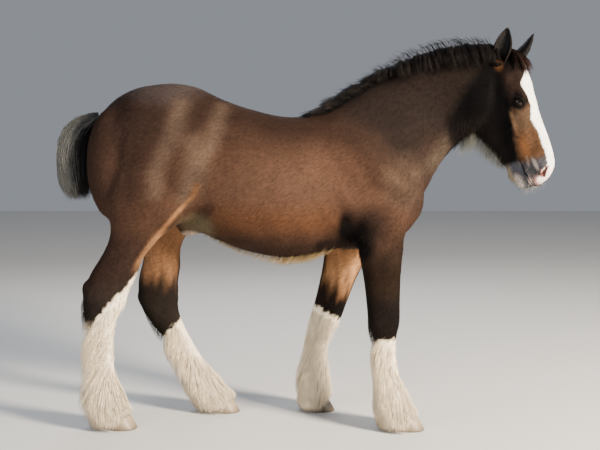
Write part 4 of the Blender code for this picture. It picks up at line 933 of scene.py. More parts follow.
def head_colour(own, edge, fine):
    """The head's coat: black cheeks, tan below the eye, white blaze, pink and slate muzzle."""
    x, y, z = own.T
    side = np.abs(y)
    colour = np.tile(SHADE["black"] * 1.1, (len(own), 1))
    jowl = step(-0.070, -0.120, z) * step(0.20, 0.27, x)
    colour = mix(colour, np.array((0.0085, 0.0062, 0.0055)), 0.8 * jowl)
    brow = step(0.06, 0.12, x) * step(-0.035, 0.0, z) * step(0.26, 0.18, x)
    colour = mix(colour, SHADE["dark brown"] * 0.9, 0.7 * brow)
    cheek_line = np.interp(x, [row[0] for row in CHEEK_EDGE], [row[1] for row in CHEEK_EDGE])
    tan = step(-0.016, 0.010, z - cheek_line + 0.3 * edge) * step(0.225, 0.270, x) * step(0.470, 0.430, x)
    colour = mix(colour, SHADE["tan"] * (1.0 + 0.25 * fine[:, None]), 0.90 * tan)
    colour = mix(colour, np.array((0.062, 0.040, 0.025)), 0.75 * tan * step(0.36, 0.29, x))
    band = step(0.012, 0.004, np.abs(x - 0.345 - 0.9 * (z + 0.030))) * step(-0.006, -0.020, z)
    colour = mix(colour, SHADE["dark brown"] * 1.3, 0.75 * tan * band)
    ginger = step(1, 0.2, np.hypot((x - 0.385) / 0.065, (z + 0.018) / 0.026)) * step(0.46, 0.42, x)
    colour = mix(colour, SHADE["ginger"] * 0.85, 0.65 * ginger)
    socket = step(1, 0.50, np.hypot((x - EYE.x) / 0.044, (z - EYE.z - 0.003) / 0.029))
    colour = mix(colour, SHADE["black"], 0.95 * socket * step(0.03, 0.045, side))
    ear_base = step(1, 0.3, np.hypot((x - 0.062) / 0.036, (z + 0.020) / 0.022)) * step(0.045, 0.06, side)
    colour = mix(colour, SHADE["ginger"] * 0.55, 0.80 * ear_base)
    muzzle = step(0.425, 0.455, x + 0.3 * edge) * step(0.020, 0.030, side + 0.3 * edge)
    colour = mix(colour, SHADE["slate"] * (1.0 + 0.5 * fine[:, None]), 0.92 * muzzle)
    # Painted highlight: a pale patch on the side of the muzzle
    pale = step(1, 0.3, np.hypot((x - 0.458) / 0.042, (z - 0.002 - 0.2 * (x - 0.458)) / 0.011))
    colour = mix(colour, np.array((0.200, 0.175, 0.160)), 0.65 * pale)
    streak = step(1, 0.2, np.hypot((x - 0.440) / 0.030, (z + 0.022) / 0.008))
    colour = mix(colour, np.array((0.150, 0.120, 0.100)), 0.50 * streak)
    half = np.interp(x, [row[0] for row in BLAZE], [row[1] for row in BLAZE])
    blaze = step(0.002, -0.002, side - half + 0.10 * edge) * step(0.010, 0.018, z + 0.1 * edge)
    nose = step(0.495, 0.515, x) * step(-0.018, -0.002, z)
    blaze = np.maximum(blaze * step(0.100, 0.125, x), nose * step(0.044, 0.036, side))
    colour = mix(colour, SHADE["pure white"], blaze)
    rim = step(1, 0.45, np.hypot((x - 0.502) / 0.030, (z - 0.028) / 0.026)) * step(0.018, 0.028, side)
    tip = step(0.490, 0.520, x) * step(-0.030, -0.012, z)
    pink = np.clip(np.maximum(rim * 0.8, tip * 0.55), 0, 1) * step(0.475, 0.495, x - 0.2 * (z - 0.02))
    colour = mix(colour, SHADE["pink"] * (1.0 + 0.18 * fine[:, None]), 0.60 * pink)
    blush = step(0.44, 0.52, x) * step(0.018, 0.030, z)
    colour = mix(colour, np.array((0.780, 0.560, 0.480)), 0.35 * blush * blaze)
    lower = step(-0.045, -0.056, z) * step(0.42, 0.45, x)
    colour = mix(colour, SHADE["slate"] * (1.7 + 0.5 * fine[:, None]), 0.85 * lower)
    pale_lip = step(1, 0.35, np.hypot((x - 0.505) / 0.045, (z + 0.082) / 0.026)) * lower
    colour = mix(colour, np.array((0.420, 0.360, 0.320)), 0.75 * pale_lip)
    under = step(-0.088, -0.105, z) * step(0.42, 0.46, x)
    colour = mix(colour, SHADE["cream"] * 1.2, 0.6 * under)
    lip = step(1, 0.4, np.hypot((x - 0.516) / 0.020, (z + 0.036) / 0.009))
    return mix(colour, np.array((0.700, 0.480, 0.420)), 0.65 * lip)


def tile_of(points):
    """Which part of the body each point is laid out with: trunk 0, tail 1, legs 2 to 5, head 6."""
    own = in_head(points)
    which, reach, _ = nearest_leg(points)
    tile = np.zeros(len(points), np.int64)
    tile[(points[:, 0] < -0.80) & (points[:, 2] > 0.60)] = 1
    on_leg = (points[:, 2] < 0.70) & (reach < 0.20)
    tile[on_leg] = 2 + which[on_leg]
    beyond = past_poll(own) > 0
    tile[beyond & (own[:, 2] > -0.30) & (own[:, 0] < 0.62)] = 6
    return tile


def rolled(points, tile):
    """How far along and how far round its part each point lies."""
    x, y, z = points.T
    own = in_head(points)
    far = (x + 0.90) / 1.70
    turn = np.arctan2(y, z - 0.98)
    far = np.where(tile == 1, (z - 0.80) / 0.50, far)
    turn = np.where(tile == 1, np.arctan2(y, x + 0.89), turn)
    for i, name in enumerate(LEGS):
        far = np.where(tile == 2 + i, z / 0.75, far)
        turn = np.where(tile == 2 + i, leg_place(points, name)[1], turn)
    far = np.where(tile == 6, (own[:, 0] + 0.10) / 0.75, far)
    turn = np.where(tile == 6, np.arctan2(own[:, 1], own[:, 2] + 0.07), turn)
    return far, turn / math.tau + 0.5


def unwrap(points, anchors):
    """Places on a flat sheet: each part of the body is rolled out in a tile of its own.
    The anchor of each point says which tile it is in, and on which side of the seam."""
    tile = tile_of(anchors)
    far, round_it = rolled(points, tile)
    near = rolled(anchors, tile)[1]
    round_it = round_it - np.round(round_it - near)
    across = (tile % 3 + 0.03 + 0.94 * np.clip(far, 0, 1)) / 3
    return np.stack((across, (tile // 3 + 0.03 + 0.94 * np.clip(round_it, -0.02, 1.02)) / 3), 1)


def dress(thing, name, paint, replaced=()):
    """Names a finished piece, carries it from the stance into the frame, and lets it ride on the body."""
    thing.name = name
    thing.data.name = name
    thing.data.transform(Matrix.Translation(SHIFT))
    thing.data.materials.clear()
    thing.data.materials.append(paint)
    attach(thing, "root")
    if replaced:
        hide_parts(*replaced)
    return thing


def put_colours(data, colours):
    """Keeps a colour at each point as the mesh's attribute."""
    layer = data.color_attributes.new("Coat", "FLOAT_COLOR", "POINT")
    full = np.ones((len(colours), 4), np.float32)
    full[:, :3] = np.clip(colours, 0, 1)
    layer.data.foreach_set("color", full.ravel())


def put_places(data, places):
    """The unwrap, given point by point, laid on the mesh's corners."""
    corners = np.empty(len(data.loops), np.int64)
    data.loops.foreach_get("vertex_index", corners)
    layer = data.uv_layers.new(name="OFBake")
    layer.data.foreach_set("uv", places[corners].astype(np.float32).ravel())


def mesh_of(name, points, triangles, smooth=True):
    """A mesh object from points and triangles."""
    data = bpy.data.meshes.new(name)
    data.vertices.add(len(points))
    data.vertices.foreach_set("co", points.astype(np.float32).ravel())
    data.loops.add(triangles.size)
    data.loops.foreach_set("vertex_index", triangles.astype(np.int32).ravel())
    data.polygons.add(len(triangles))
    data.polygons.foreach_set("loop_start", np.arange(0, triangles.size, 3, dtype=np.int32))
    data.polygons.foreach_set("use_smooth", np.full(len(triangles), smooth))
    data.update(calc_edges=True)
    made = bpy.data.objects.new(name, data)
    bpy.context.scene.collection.objects.link(made)
    return made


def strands(name, root, middle, tip, width, out, from_colour, to_colour, steps=3, full=0.35):
    """Tapered hairs along bent lines, three-sided and flattened, all in one mesh."""
    count = len(root)
    rows = []
    for k in range(steps):
        t = k / steps
        centre = root * (1 - t) ** 2 + middle * (2 * t * (1 - t)) + tip * t**2
        run = unit((middle - root) * (1 - t) + (tip - middle) * t)
        side = unit(np.cross(run, out))
        rise = np.cross(side, run)
        swell = 0.55 + 0.45 * t / full if t < full else 0.1 + 0.9 * (1 - t) / (1 - full)
        size = (width * (1.0 if steps == 1 else swell))[:, None]
        rows += [centre + side * size * 0.5, centre - side * size * 0.5, centre + rise * size * 0.20]
    rows.append(tip)
    points = np.clip(np.stack(rows, 1), BOX_LOW, BOX_HIGH)
    faces = []
    for k in range(steps - 1):
        a, b = 3 * k, 3 * k + 3
        for i in range(3):
            j = (i + 1) % 3
            faces += [(a + i, b + i, b + j), (a + i, b + j, a + j)]
    top, last = 3 * steps, 3 * steps - 3
    faces += [(last + i, top, last + (i + 1) % 3) for i in range(3)]
    own = 3 * steps + 1
    triangles = (np.arange(count)[:, None, None] * own + np.array(faces)[None]).reshape(-1, 3)
    made = mesh_of(name, points.reshape(-1, 3), triangles, steps > 1)
    share = np.array([k // 3 / steps for k in range(own)])
    colours = from_colour[:, None] * (1 - share[None, :, None]) + to_colour[:, None] * share[None, :, None]
    put_colours(made.data, colours.reshape(-1, 3))
    around = np.stack((share - 0.5, np.arange(own) % 3 / 2 - 0.5), 1)
    spot = unwrap(root, root)[:, None] + 0.0014 * around[None] * 2
    put_places(made.data, spot.reshape(-1, 2))
    return made


class Surface:
    """A mesh's triangles as arrays, to draw roots from."""

    def __init__(self, thing):
        data = thing.data
        data.calc_loop_triangles()
        self.points, self.normals = read_points(data)
        corners = np.empty(len(data.loop_triangles) * 3, np.int64)
        data.loop_triangles.foreach_get("vertices", corners)
        self.corners = corners.reshape(-1, 3)
        a, b, c = (self.points[self.corners[:, k]] for k in range(3))
        self.middle = (a + b + c) / 3
        self.area = np.linalg.norm(np.cross(b - a, c - a), axis=1) / 2

    def draw(self, count, density):
        """Roots and their normals; density is a weight for each triangle."""
        weight = self.area * density
        weight = weight / weight.sum()
        chosen = rng.choice(len(weight), count, p=weight)
        a, b = rng.random(count), rng.random(count)
        flip = a + b > 1
        a[flip], b[flip] = 1 - a[flip], 1 - b[flip]
        c = 1 - a - b
        corner = self.corners[chosen]
        spot = sum(self.points[corner[:, k]] * s[:, None] for k, s in enumerate((a, b, c)))
        return spot, unit(sum(self.normals[corner[:, k]] * s[:, None] for k, s in enumerate((a, b, c))))


def lie(points, normals):
    """Which way the short coat lies."""
    own = in_head(points)
    on_head = step(-0.02, 0.05, past_poll(own)) * (own[:, 2] > -0.30) * (own[:, 0] < 0.62)
    way = np.tile((-0.75, 0.0, -0.50), (len(points), 1))
    way = way + np.array((0.45, 0.0, -0.65)) * step(0.25, 0.45, points[:, 0])[:, None]
    leg = step(0.85, 0.68, points[:, 2])[:, None]
    way = way * (1 - leg) + np.array((-0.12, 0.0, -1.0)) * leg
    down = np.array(head_frame().to_3x3()) @ np.array((1.0, 0.0, -0.25))
    way = way * (1 - on_head[:, None]) + down * on_head[:, None]
    drift = (ripple(points, 0.05), ripple(points, 0.06, 2.0), ripple(points, 0.05, 4.0))
    way = way + 0.10 * np.stack(drift, 1)
    way = way - normals * (way * normals).sum(1, keepdims=True)
    return unit(way)


# Small forms of the face, added once its skin is fine enough: centre, radii, tilt, how far the skin is moved
FACE_DETAIL = {
    "vein of the nose": ((0.350, 0.052, 0.006), (0.036, 0.020, 0.0045), -23, 0.0022),
    "vein of the cheek": ((0.300, 0.068, -0.058), (0.050, 0.022, 0.0045), -30, 0.0016),
    "fold over the eye": ((0.205, 0.078, 0.034), (0.032, 0.028, 0.0040), 6, 0.0024),
    "crease over the eye": ((0.207, 0.076, 0.0265), (0.030, 0.028, 0.0035), 4, -0.0026),
    "upper crease": ((0.199, 0.070, 0.043), (0.028, 0.028, 0.0040), 10, -0.0018),
    "crease under the eye": ((0.228, 0.082, -0.014), (0.028, 0.028, 0.0035), -8, -0.0020),
    "fold under the eye": ((0.232, 0.082, -0.020), (0.030, 0.028, 0.0040), -10, 0.0016),
    "wing of the nostril": ((0.486, 0.050, 0.046), (0.026, 0.016, 0.0070), 34, 0.0030),
    "lower wing": ((0.500, 0.048, 0.010), (0.024, 0.016, 0.0060), 18, 0.0020),
    "behind the nostril": ((0.466, 0.048, 0.036), (0.012, 0.016, 0.0120), 0, -0.0024),
    "edge of the upper lip": ((0.480, 0.044, -0.0375), (0.045, 0.022, 0.0055), -10, 0.0018),
    "edge of the lower lip": ((0.482, 0.040, -0.0500), (0.040, 0.022, 0.0050), -10, 0.0014),
    "wrinkle of the mouth": ((0.424, 0.046, -0.045), (0.006, 0.020, 0.0160), 20, -0.0018),
    "wrinkle of the chin": ((0.450, 0.036, -0.085), (0.006, 0.024, 0.0220), -10, -0.0016),
}
SKIN_FINE = 0.0091
EYE_OPEN = 0.019
EYE_RIM = 0.026


def evened(mesh, verts):
    """One pass of evening over chosen points of a mesh."""
    bmesh.ops.smooth_vert(mesh, verts=verts, factor=0.5, use_axis_x=True, use_axis_y=True, use_axis_z=True)


def refine(body, chosen):
    """Halves the mesh where chosen, and evens it there."""
    mesh = bmesh.new()
    mesh.from_mesh(body.data)
    edges = [e for e in mesh.edges if chosen[e.verts[0].index] and chosen[e.verts[1].index]]
    cut = bmesh.ops.subdivide_edges(mesh, edges=edges, cuts=1, use_grid_fill=True)
    fresh = list({v for e in cut["geom_inner"] if isinstance(e, bmesh.types.BMEdge) for v in e.verts})
    for _ in range(2):
        evened(mesh, fresh)
    mesh.to_mesh(body.data)
    mesh.free()


def soften_near(body, centre, near, far, times):
    """Evens the skin in a ring round a place of the stance."""
    mesh = bmesh.new()
    mesh.from_mesh(body.data)
    ring_of = [v for v in mesh.verts if near < (v.co - centre).length < far]
    for _ in range(times):
        evened(mesh, ring_of)
    mesh.to_mesh(body.data)
    mesh.free()


def face_share(own):
    """1 on the head, 0 off it."""
    return (own[:, 0] > 0.10) & (own[:, 0] < 0.62) & (own[:, 2] > -0.26) & (np.abs(own[:, 1]) < 0.14)


def make_skin():
    """The whole hide: body, neck, head and legs in one, a coat's depth under the tips of the hair."""
    body = flesh(SKIN_FINE)
    points, normals = read_points(body.data)
    own = in_head(points)
    depth = COAT_DEPTH * (1 - 0.65 * step(0.38, 0.46, own[:, 0]) * face_share(own))
    eye_near = np.linalg.norm(own * (1, 0, 1) - np.array((EYE.x, 0, EYE.z)), axis=1)
    depth = depth * (1 - 0.55 * step(0.055, 0.035, eye_near) * face_share(own))
    body.data.vertices.foreach_set("co", (points - depth[:, None] * normals).ravel())
    body.data.update()
    refine(body, face_share(own))
    own = in_head(read_points(body.data)[0])
    about_eye = np.linalg.norm((own - np.array(EYE)) * (1, 0, 1), axis=1) < 0.045
    refine(body, face_share(own) & ((own[:, 0] > 0.415) | about_eye))
    points, normals = read_points(body.data)
    own = in_head(points)
    moved = forms(own, FACE_DETAIL) * face_share(own)
    body.data.vertices.foreach_set("co", (points + moved[:, None] * normals).ravel())
    body.data.update()
    for name, toe in TOES.items():
        foot = FORE_OUT[-1] if name.startswith("fore") else HIND_OUT[-1]
        side = -1 if name.endswith("right") else 1
        solid(coronet_cutter(toe, side * foot), body, "DIFFERENCE")
    for side in (-1, 1):
        centre = Vector((EYE.x, side * EYE.y, EYE.z))
        solid(carry(ball(centre, EYE_RADIUS + LID_THICKNESS, "lids", 48, 32)), body, "UNION")
        soften_near(body, head_frame() @ centre, 0.017, 0.036, 8)
        solid(carry(lens(side, EYE_WIDTH, EYE_OPEN, 0.004, 0.040, 1.35)), body, "DIFFERENCE")
        solid(carry(ball(centre, EYE_RADIUS + GAP, "socket", 48, 32)), body, "DIFFERENCE")
        solid(nostril(side), body, "DIFFERENCE")
    solid(mouth(), body, "DIFFERENCE")
    body = largest(body)
    for face in body.data.polygons:
        face.use_smooth = True
    return body


def shaded_hollows_and_lids(points, colours):
    """Paints shade inside the nostrils, over their dark red lining, and along the line of the mouth, and
    darkens the rims of the lids.
    """
    own = in_head(points)
    side = np.abs(own[:, 1])
    x, z = own[:, 0], own[:, 2]
    # Painted shade inside the nostrils, over the dark red of their lining
    t = np.clip((x - 0.480) / 0.028, 0, 1)
    axis_z = 0.038 - 0.022 * t - 0.004 * np.sin(math.pi * t)
    inside = step(1.0, 0.80, np.hypot((x - 0.495) / 0.0225, (z - axis_z) / 0.0118)) * step(0.054, 0.049, side)
    inside = inside * step(0.010, 0.020, side)
    colours = mix(colours, np.array((0.105, 0.026, 0.020)), inside * 0.96)
    # Painted shade along the line of the mouth
    line = -0.053 + 0.20 * (x - 0.428)
    mouth_line_shade = step(0.0024, 0.0012, np.abs(z - line)) * (x > 0.424) * (x < 0.536)
    colours = mix(colours, np.array((0.012, 0.008, 0.008)), mouth_line_shade * 0.9)
    away = np.linalg.norm(own * (1, 0, 1) - np.array((EYE.x, 0, EYE.z)), axis=1)
    lids = step(EYE_RIM, 0.019, away) * step(0.050, 0.062, side)
    return mix(colours, np.array((0.0035, 0.0028, 0.0028)), lids * 0.96)


def unwrap_skin(thing):
    """Rolls the skin out face by face, so that no face stretches over a seam."""
    data = thing.data
    points = read_points(data)[0]
    corners = np.empty(len(data.loops), np.int64)
    data.loops.foreach_get("vertex_index", corners)
    totals = np.empty(len(data.polygons), np.int64)
    data.polygons.foreach_get("loop_total", totals)
    centres = np.empty(len(data.polygons) * 3)
    data.polygons.foreach_get("center", centres)
    anchors = np.repeat(centres.reshape(-1, 3), totals, axis=0)
    layer = data.uv_layers.new(name="OFBake")
    layer.data.foreach_set("uv", unwrap(points[corners], anchors).astype(np.float32).ravel())


def blown(points, size, amount, seed=0.0):
    """Small sideways drift that neighbouring hairs share."""
    return amount * np.stack([ripple(points, size, seed + more) for more in (0, 2, 5)], 1)


def clump(root, tip, every, pull, spread):
    """Draws the tips of neighbouring hairs together into pointed locks."""
    count = len(root)
    heads = rng.choice(count, max(count // every, 1), replace=False)
    nearest = np.empty(count, np.int64)
    for first in range(0, count, 2000):
        away = root[first : first + 2000, None] - root[None, heads]
        nearest[first : first + 2000] = (away**2).sum(2).argmin(1)
    lead = heads[nearest]
    meeting = tip[lead] + (root - root[lead]) * 0.35 + rng.normal(0, spread, (count, 3))
    share = pull * rng.uniform(0.7, 1.0, count)
    return mix(tip, meeting, share), lead


def varied(colours, low=0.8, high=1.2):
    """Colours made lighter or darker at random."""
    return colours * rng.uniform(low, high, (len(colours), 1))


def short_coat(name, surface, region, count, length, width, lift=8.5):
    """Short hair over a region of the skin, lying along the coat's way."""
    middle = surface.middle
    root, normal = surface.draw(count, region(middle))
    way = lie(root, normal)
    angle = np.radians(lift) * rng.uniform(0.75, 1.05, count)
    sway = unit(way + 0.10 * rng.normal(0, 1, (count, 3)))
    size = length(root) * rng.uniform(0.75, 1.15, count)
    tip = root + (sway * np.cos(angle)[:, None] + normal * np.sin(angle)[:, None]) * size[:, None]
    start = root - normal * 0.0012
    colours = coat_colour(root, normal)
    ends = coat_colour(tip, normal)
    grain = 0.10 * ripple(root, 0.0045, 6.0) + 0.06 * ripple(root, 0.012, 1.0)
    shade = rng.uniform(0.62, 1.44, (count, 1)) * (1 + 1.5 * grain)[:, None]
    girth = width * rng.uniform(0.8, 1.2, count)
    middle = (start + tip) / 2
    return strands(name, start, middle, tip, girth, normal, colours * shade, ends * shade * 1.04, 1)


def leg_hair(name, surface, index, count):
    """The feather of one leg: short in front of the cannon, long behind it and all round the pastern."""
    middle = surface.middle
    which, reach, turn = nearest_leg(middle)
    z = middle[:, 2]
    rear = 0.5 - 0.5 * np.cos(turn)
    joint_height = LEGS[name][0][2][1]
    hairy = step(joint_height + 0.03, joint_height - 0.01, z)
    above = 0.8 * hairy * step(0.70, 0.95, rear)
    weight = (which == index) * (reach < 0.12) * np.maximum(below_edge(middle, name, -0.006 + 0 * z), above)
    weight = weight * (0.30 + 0.9 * rear + 1.2 * step(0.26, 0.18, z))
    root, normal = surface.draw(count, weight)
    reach, turn = leg_place(root, name)
    cos, sin = np.cos(turn), np.sin(turn)
    rear = 0.5 - 0.5 * cos
    z0 = root[:, 2]
    low = step(0.27, 0.17, z0)
    length = (0.020 + 0.090 * rear**1.5) * (1 - low) + low * (0.050 + 0.075 * rear + 0.05 * rng.random(count))
    length = length * rng.uniform(0.75, 1.15, count)
    length = np.where(below_edge(root, name, 0 * z0) < 0.5, np.minimum(length, 0.035), length)
    floor = 0.003 + 0.046 * step(0.1, 0.9, cos) + 0.018 * rng.random(count) ** 2
    z1 = np.maximum(z0 - length, np.minimum(floor, z0 - 0.015))
    rows = np.array(sorted(FRINGE[name]))
    front, back, half = (np.interp(z1, rows[:, 0], rows[:, k]) for k in (1, 2, 3))
    line = leg_line(name)
    y_mid = np.interp(z1, [row[0] for row in line], [row[2] for row in line])
    full = np.clip(length / 0.08, 0.2, 1) ** 0.5 * rng.uniform(0.80, 1.0, count)
    edge = np.stack(((front + back) / 2 + (front - back) / 2 * cos, y_mid + half * sin, z1), 1)
    close = root + normal * 0.006 + np.array((0, 0, 1.0)) * (z1 - z0)[:, None]
    tip = mix(close, edge, full * np.clip(0.30 + low + rear, 0, 1))
    tip, lead = clump(root, tip, 12, 0.50, 0.004)
    tip[:, 2] = np.maximum(tip[:, 2], 0.002)
    out = np.stack((cos, sin, np.zeros(count)), 1)
    bulge = length * (0.04 + 0.12 * rear * (1 - low) + 0.20 * low)
    middle = root * 0.5 + tip * 0.5 + out * bulge[:, None] + np.array((0, 0, 1.0)) * (0.4 * bulge)[:, None]
    middle += blown(root, 0.03, 0.004)
    colours = coat_colour(root, normal)
    pale = np.maximum(colours, SHADE["white"] * 0.85)
    colours = mix(colours, pale, step(WHITE_EDGE[name][0] - 0.04, WHITE_EDGE[name][0] - 0.10, z0))
    shade = rng.uniform(0.94, 1.05, (count, 1)) * rng.uniform(0.96, 1.03, (count, 1))[lead]
    ends = mix(colours, np.array((0.760, 0.640, 0.470)), 0.50 * step(0.12, 0.01, z1))
    girth = (0.0013 + 0.0013 * rng.random(count)) * (0.6 + 0.4 * full)
    start = root - normal * 0.002
    return strands("feather_" + name, start, middle, tip, girth, out, colours * shade, ends * shade, 3)


def tail_hair(count):
    """The bushy tail of a foal: hair from all round the dock, black within, grey without."""
    rows = np.array(DOCK)
    along_it = np.concatenate(((0.0,), np.cumsum(np.hypot(*np.diff(rows[:, :2], axis=0).T))))
    place = along_it[-1] * (0.10 + 0.90 * rng.random(count) ** 1.15)
    x, z0, deep, half = (np.interp(place, along_it, rows[:, k]) for k in range(4))
    ahead_x, ahead_z = (np.interp(place + 0.01, along_it, rows[:, k]) for k in (0, 1))
    run = unit(np.stack((ahead_x - x - 1e-5, 0 * x, ahead_z - z0), 1))
    turn = rng.uniform(-math.pi, math.pi, count)
    cos, sin = np.cos(turn), np.sin(turn)
    out = np.stack((-run[:, 2] * cos, sin, run[:, 0] * cos), 1)
    root = np.stack((x, 0 * x, z0), 1) + out * np.stack((deep, half, deep), 1) * 0.8
    length = rng.uniform(0.14, 0.30, count)
    z1 = np.maximum(root[:, 2] - length, 0.876 + 0.07 * rng.random(count) ** 2)
    outline = np.array(sorted(TAIL))
    full = 1 - 0.60 * rng.random(count) ** 1.6

    def on_outline(height, share):
        """A place a share of the way out to the tail's outline; in front it fills the cleft."""
        rear, front, wide = (np.interp(height, outline[:, 0], outline[:, k]) for k in (1, 2, 3))
        front = front + 0.016 * step(1.19, 1.15, height)
        along = (rear + front) / 2 + (front - rear) / 2 * cos * share
        return np.stack((along, wide * sin * share, height), 1)

    tip = on_outline(z1, full * 0.97)
    tip, lead = clump(root, tip, 22, 0.55, 0.004)
    half_way = on_outline(root[:, 2] * 0.56 + z1 * 0.44 + 0.012, full * 0.97)
    middle = 2 * half_way - 0.5 * (root + tip) + blown(root, 0.05, 0.005, 4.0)
    outer = step(0.42, -0.05, cos + 0.15 * rng.normal(0, 1, count)) * step(0.45, 0.70, full)
    base = mix(np.tile(SHADE["black"] * 2.5, (count, 1)), np.array((0.085, 0.082, 0.078)), 0.75 * outer)
    ends = np.tile(SHADE["black"] * 3.0, (count, 1))
    ends = mix(ends, np.array((0.250, 0.245, 0.220)), 0.04 + 0.76 * outer)
    shade = rng.uniform(0.75, 1.2, (count, 1)) * rng.uniform(0.70, 1.25, (count, 1))[lead]
    girth = rng.uniform(0.0014, 0.0026, count)
    return strands("tail_hair", root, middle, tip, girth, out, base * shade, ends * shade, 4)


def crest_line(x):
    """Middle and height of the top line from the withers to the poll."""
    rows = np.array([(row[0], row[1], row[4]) for row in NECK])
    back = np.array([(row[0], row[1]) for row in TORSO])
    z = np.maximum(np.interp(x, rows[:, 0], rows[:, 1]), np.interp(x, back[:, 0], back[:, 1]) * (x < 0.30))
    return np.interp(x, rows[:, 0], rows[:, 2]), z


def mane_hair(count):
    """The mane of a foal: bristly and swept back at the withers, longer and fallen aside above."""
    heads = 150
    spot = np.sort(0.050 + 0.700 * rng.random(heads))
    long, lean, kink = rng.uniform(0.62, 1.12, heads), rng.normal(0, 0.020, heads), rng.normal(0, 1, heads)
    x = 0.050 + 0.700 * rng.random(count)
    lock = np.abs(x[:, None] + rng.normal(0, 0.004, count)[:, None] - spot).argmin(1)
    y, z = crest_line(x)
    over = step(0.27, 0.46, x + 0.035 * kink[lock])
    side = np.where(rng.random(count) < 0.55 + 0.20 * over, -1.0, 1.0)
    off = rng.random(count)
    grown = step(0.04, 0.16, x)
    root = np.stack((x, y + side * (0.004 + 0.022 * off), z - 0.006 - 0.014 * off**2), 1)
    rise = rng.uniform(0.042, 0.058, count) * (0.55 + 0.45 * grown) * (0.55 + 0.45 * long[lock])
    sunk = 0.036 * (1 - over)
    lift = rise + 0.030 * over - 0.5 * sunk
    middle = root + np.stack((-0.026 + 0.4 * lean[lock], side * (0.008 + 0.020 * over), lift), 1)
    swept = np.stack((-0.056 + lean[lock], side * 0.026, rise * 0.80 - sunk), 1)
    down = -rng.uniform(0.035, 0.072, count) * long[lock]
    fallen = np.stack((0.018 + 1.3 * lean[lock], side * (0.058 + 0.030 * long[lock]), down), 1)
    tip = root + mix(swept, fallen, over * rng.uniform(0.75, 1.0, count))
    gather = 0.55 * rng.uniform(0.6, 1.0, count)
    tip[:, 0] += gather * (spot[lock] - x)
    tip, lead = clump(root, tip, 14, 0.55, 0.003)
    stray = rng.random(count) < 0.05 + 0.08 * grown * (1 - over)
    up = (0.030 + 0.026 * grown) * rng.uniform(0.6, 1.15, count) - 0.7 * sunk
    away = root + np.stack((rng.uniform(-0.070, -0.030, count), side * rng.uniform(0.0, 0.03, count), up), 1)
    tip = np.where(stray[:, None], away, tip)
    middle = middle + blown(root, 0.04, 0.004, 7.0) + (middle[lead] - root[lead] - middle + root) * 0.3
    out = np.stack((np.zeros(count), side, 0.6 + 0 * side), 1)
    base = np.tile(SHADE["black"] * 1.4, (count, 1)) * rng.uniform(0.6, 1.6, (heads, 1))[lock]
    brown_lock = (rng.random(heads) ** 2)[lock] * (0.35 + 0.65 * (1 - over))
    ends = varied(base)
    ends = mix(ends, np.array((0.085, 0.066, 0.056)), 0.75 * brown_lock * rng.uniform(0.4, 1.0, count))
    return strands("mane_hair", root, middle, tip, rng.uniform(0.0012, 0.0022, count), out, base, ends, 4)


def brow_height(x, y):
    """Height of the upper side of the head, in its own frame."""
    rows = np.array(HEAD)
    top, low, half, widest, upper = (np.interp(x, rows[:, 0], rows[:, k]) for k in (1, 2, 3, 4, 5))
    middle = low + widest * (top - low)
    share = np.minimum(np.abs(y) / half, 0.98)
    return middle + (top - middle) * (1 - share**upper) ** (1 / upper)


def forelock_hair(count):
    """Wispy dark forelock: pointed locks spread from the poll over the forehead and the temples."""
    heads = 26
    share = np.linspace(-1, 1, heads) + rng.uniform(-0.06, 0.06, heads)
    reach = rng.uniform(0.30, 1.0, heads)
    x = 0.060 + 0.085 * reach - 0.030 * np.abs(share) ** 1.5
    y = 0.070 * share - 0.006
    ends = np.stack((x, y, brow_height(x, np.clip(y, -0.06, 0.06)) + rng.uniform(0.003, 0.030, heads)), 1)
    lead = rng.integers(0, heads, count)
    ahead = 0.030 * rng.random(count) - 0.004
    root = np.stack((ahead, 0.036 * share[lead] + rng.normal(0, 0.005, count), 0 * ahead), 1)
    root[:, 2] = 0.006
    loose = np.where(rng.random(count) < 0.15, 0.012, 0.0035)
    tip = ends[lead] + rng.normal(0, 1, (count, 3)) * loose[:, None]
    tip = mix(tip, root + (0.03, 0, 0.04), 0.35 * rng.random(count) ** 2)
    high = rng.uniform(0.060, 0.088, heads)[lead] - 0.020 * np.abs(share[lead])
    middle = np.stack((0.030 + 0.02 * reach[lead], 0.060 * share[lead], high), 1)
    middle = middle + rng.normal(0, 0.003, (count, 3))
    rotate = np.array(head_frame().to_3x3())
    root, middle, tip = (rows @ rotate.T + np.array(POLL) for rows in (root, middle, tip))
    out = np.tile(rotate[:, 2], (count, 1))
    base = varied(np.tile(SHADE["black"] * 1.6, (count, 1)), 0.6, 1.4)
    ends = mix(base, np.array((0.075, 0.036, 0.026)), (0.8 * rng.random(heads) ** 1.5)[lead])
    return strands("forelock_hair", root, middle, tip, rng.uniform(0.0010, 0.0018, count), out, base, ends, 4)


def drop_hair(name, root, normal, fall, thick, colours, ends, bulge=0.2, steps=4):
    """Hair that leaves the skin and hangs."""
    tip = root + fall
    length = np.linalg.norm(fall, axis=1)
    middle = root * 0.5 + tip * 0.5 + normal * (bulge * length)[:, None] + blown(root, 0.03, 0.003, 1.0)
    return strands(name, root - normal * 0.002, middle, tip, thick, normal, colours, ends, steps)


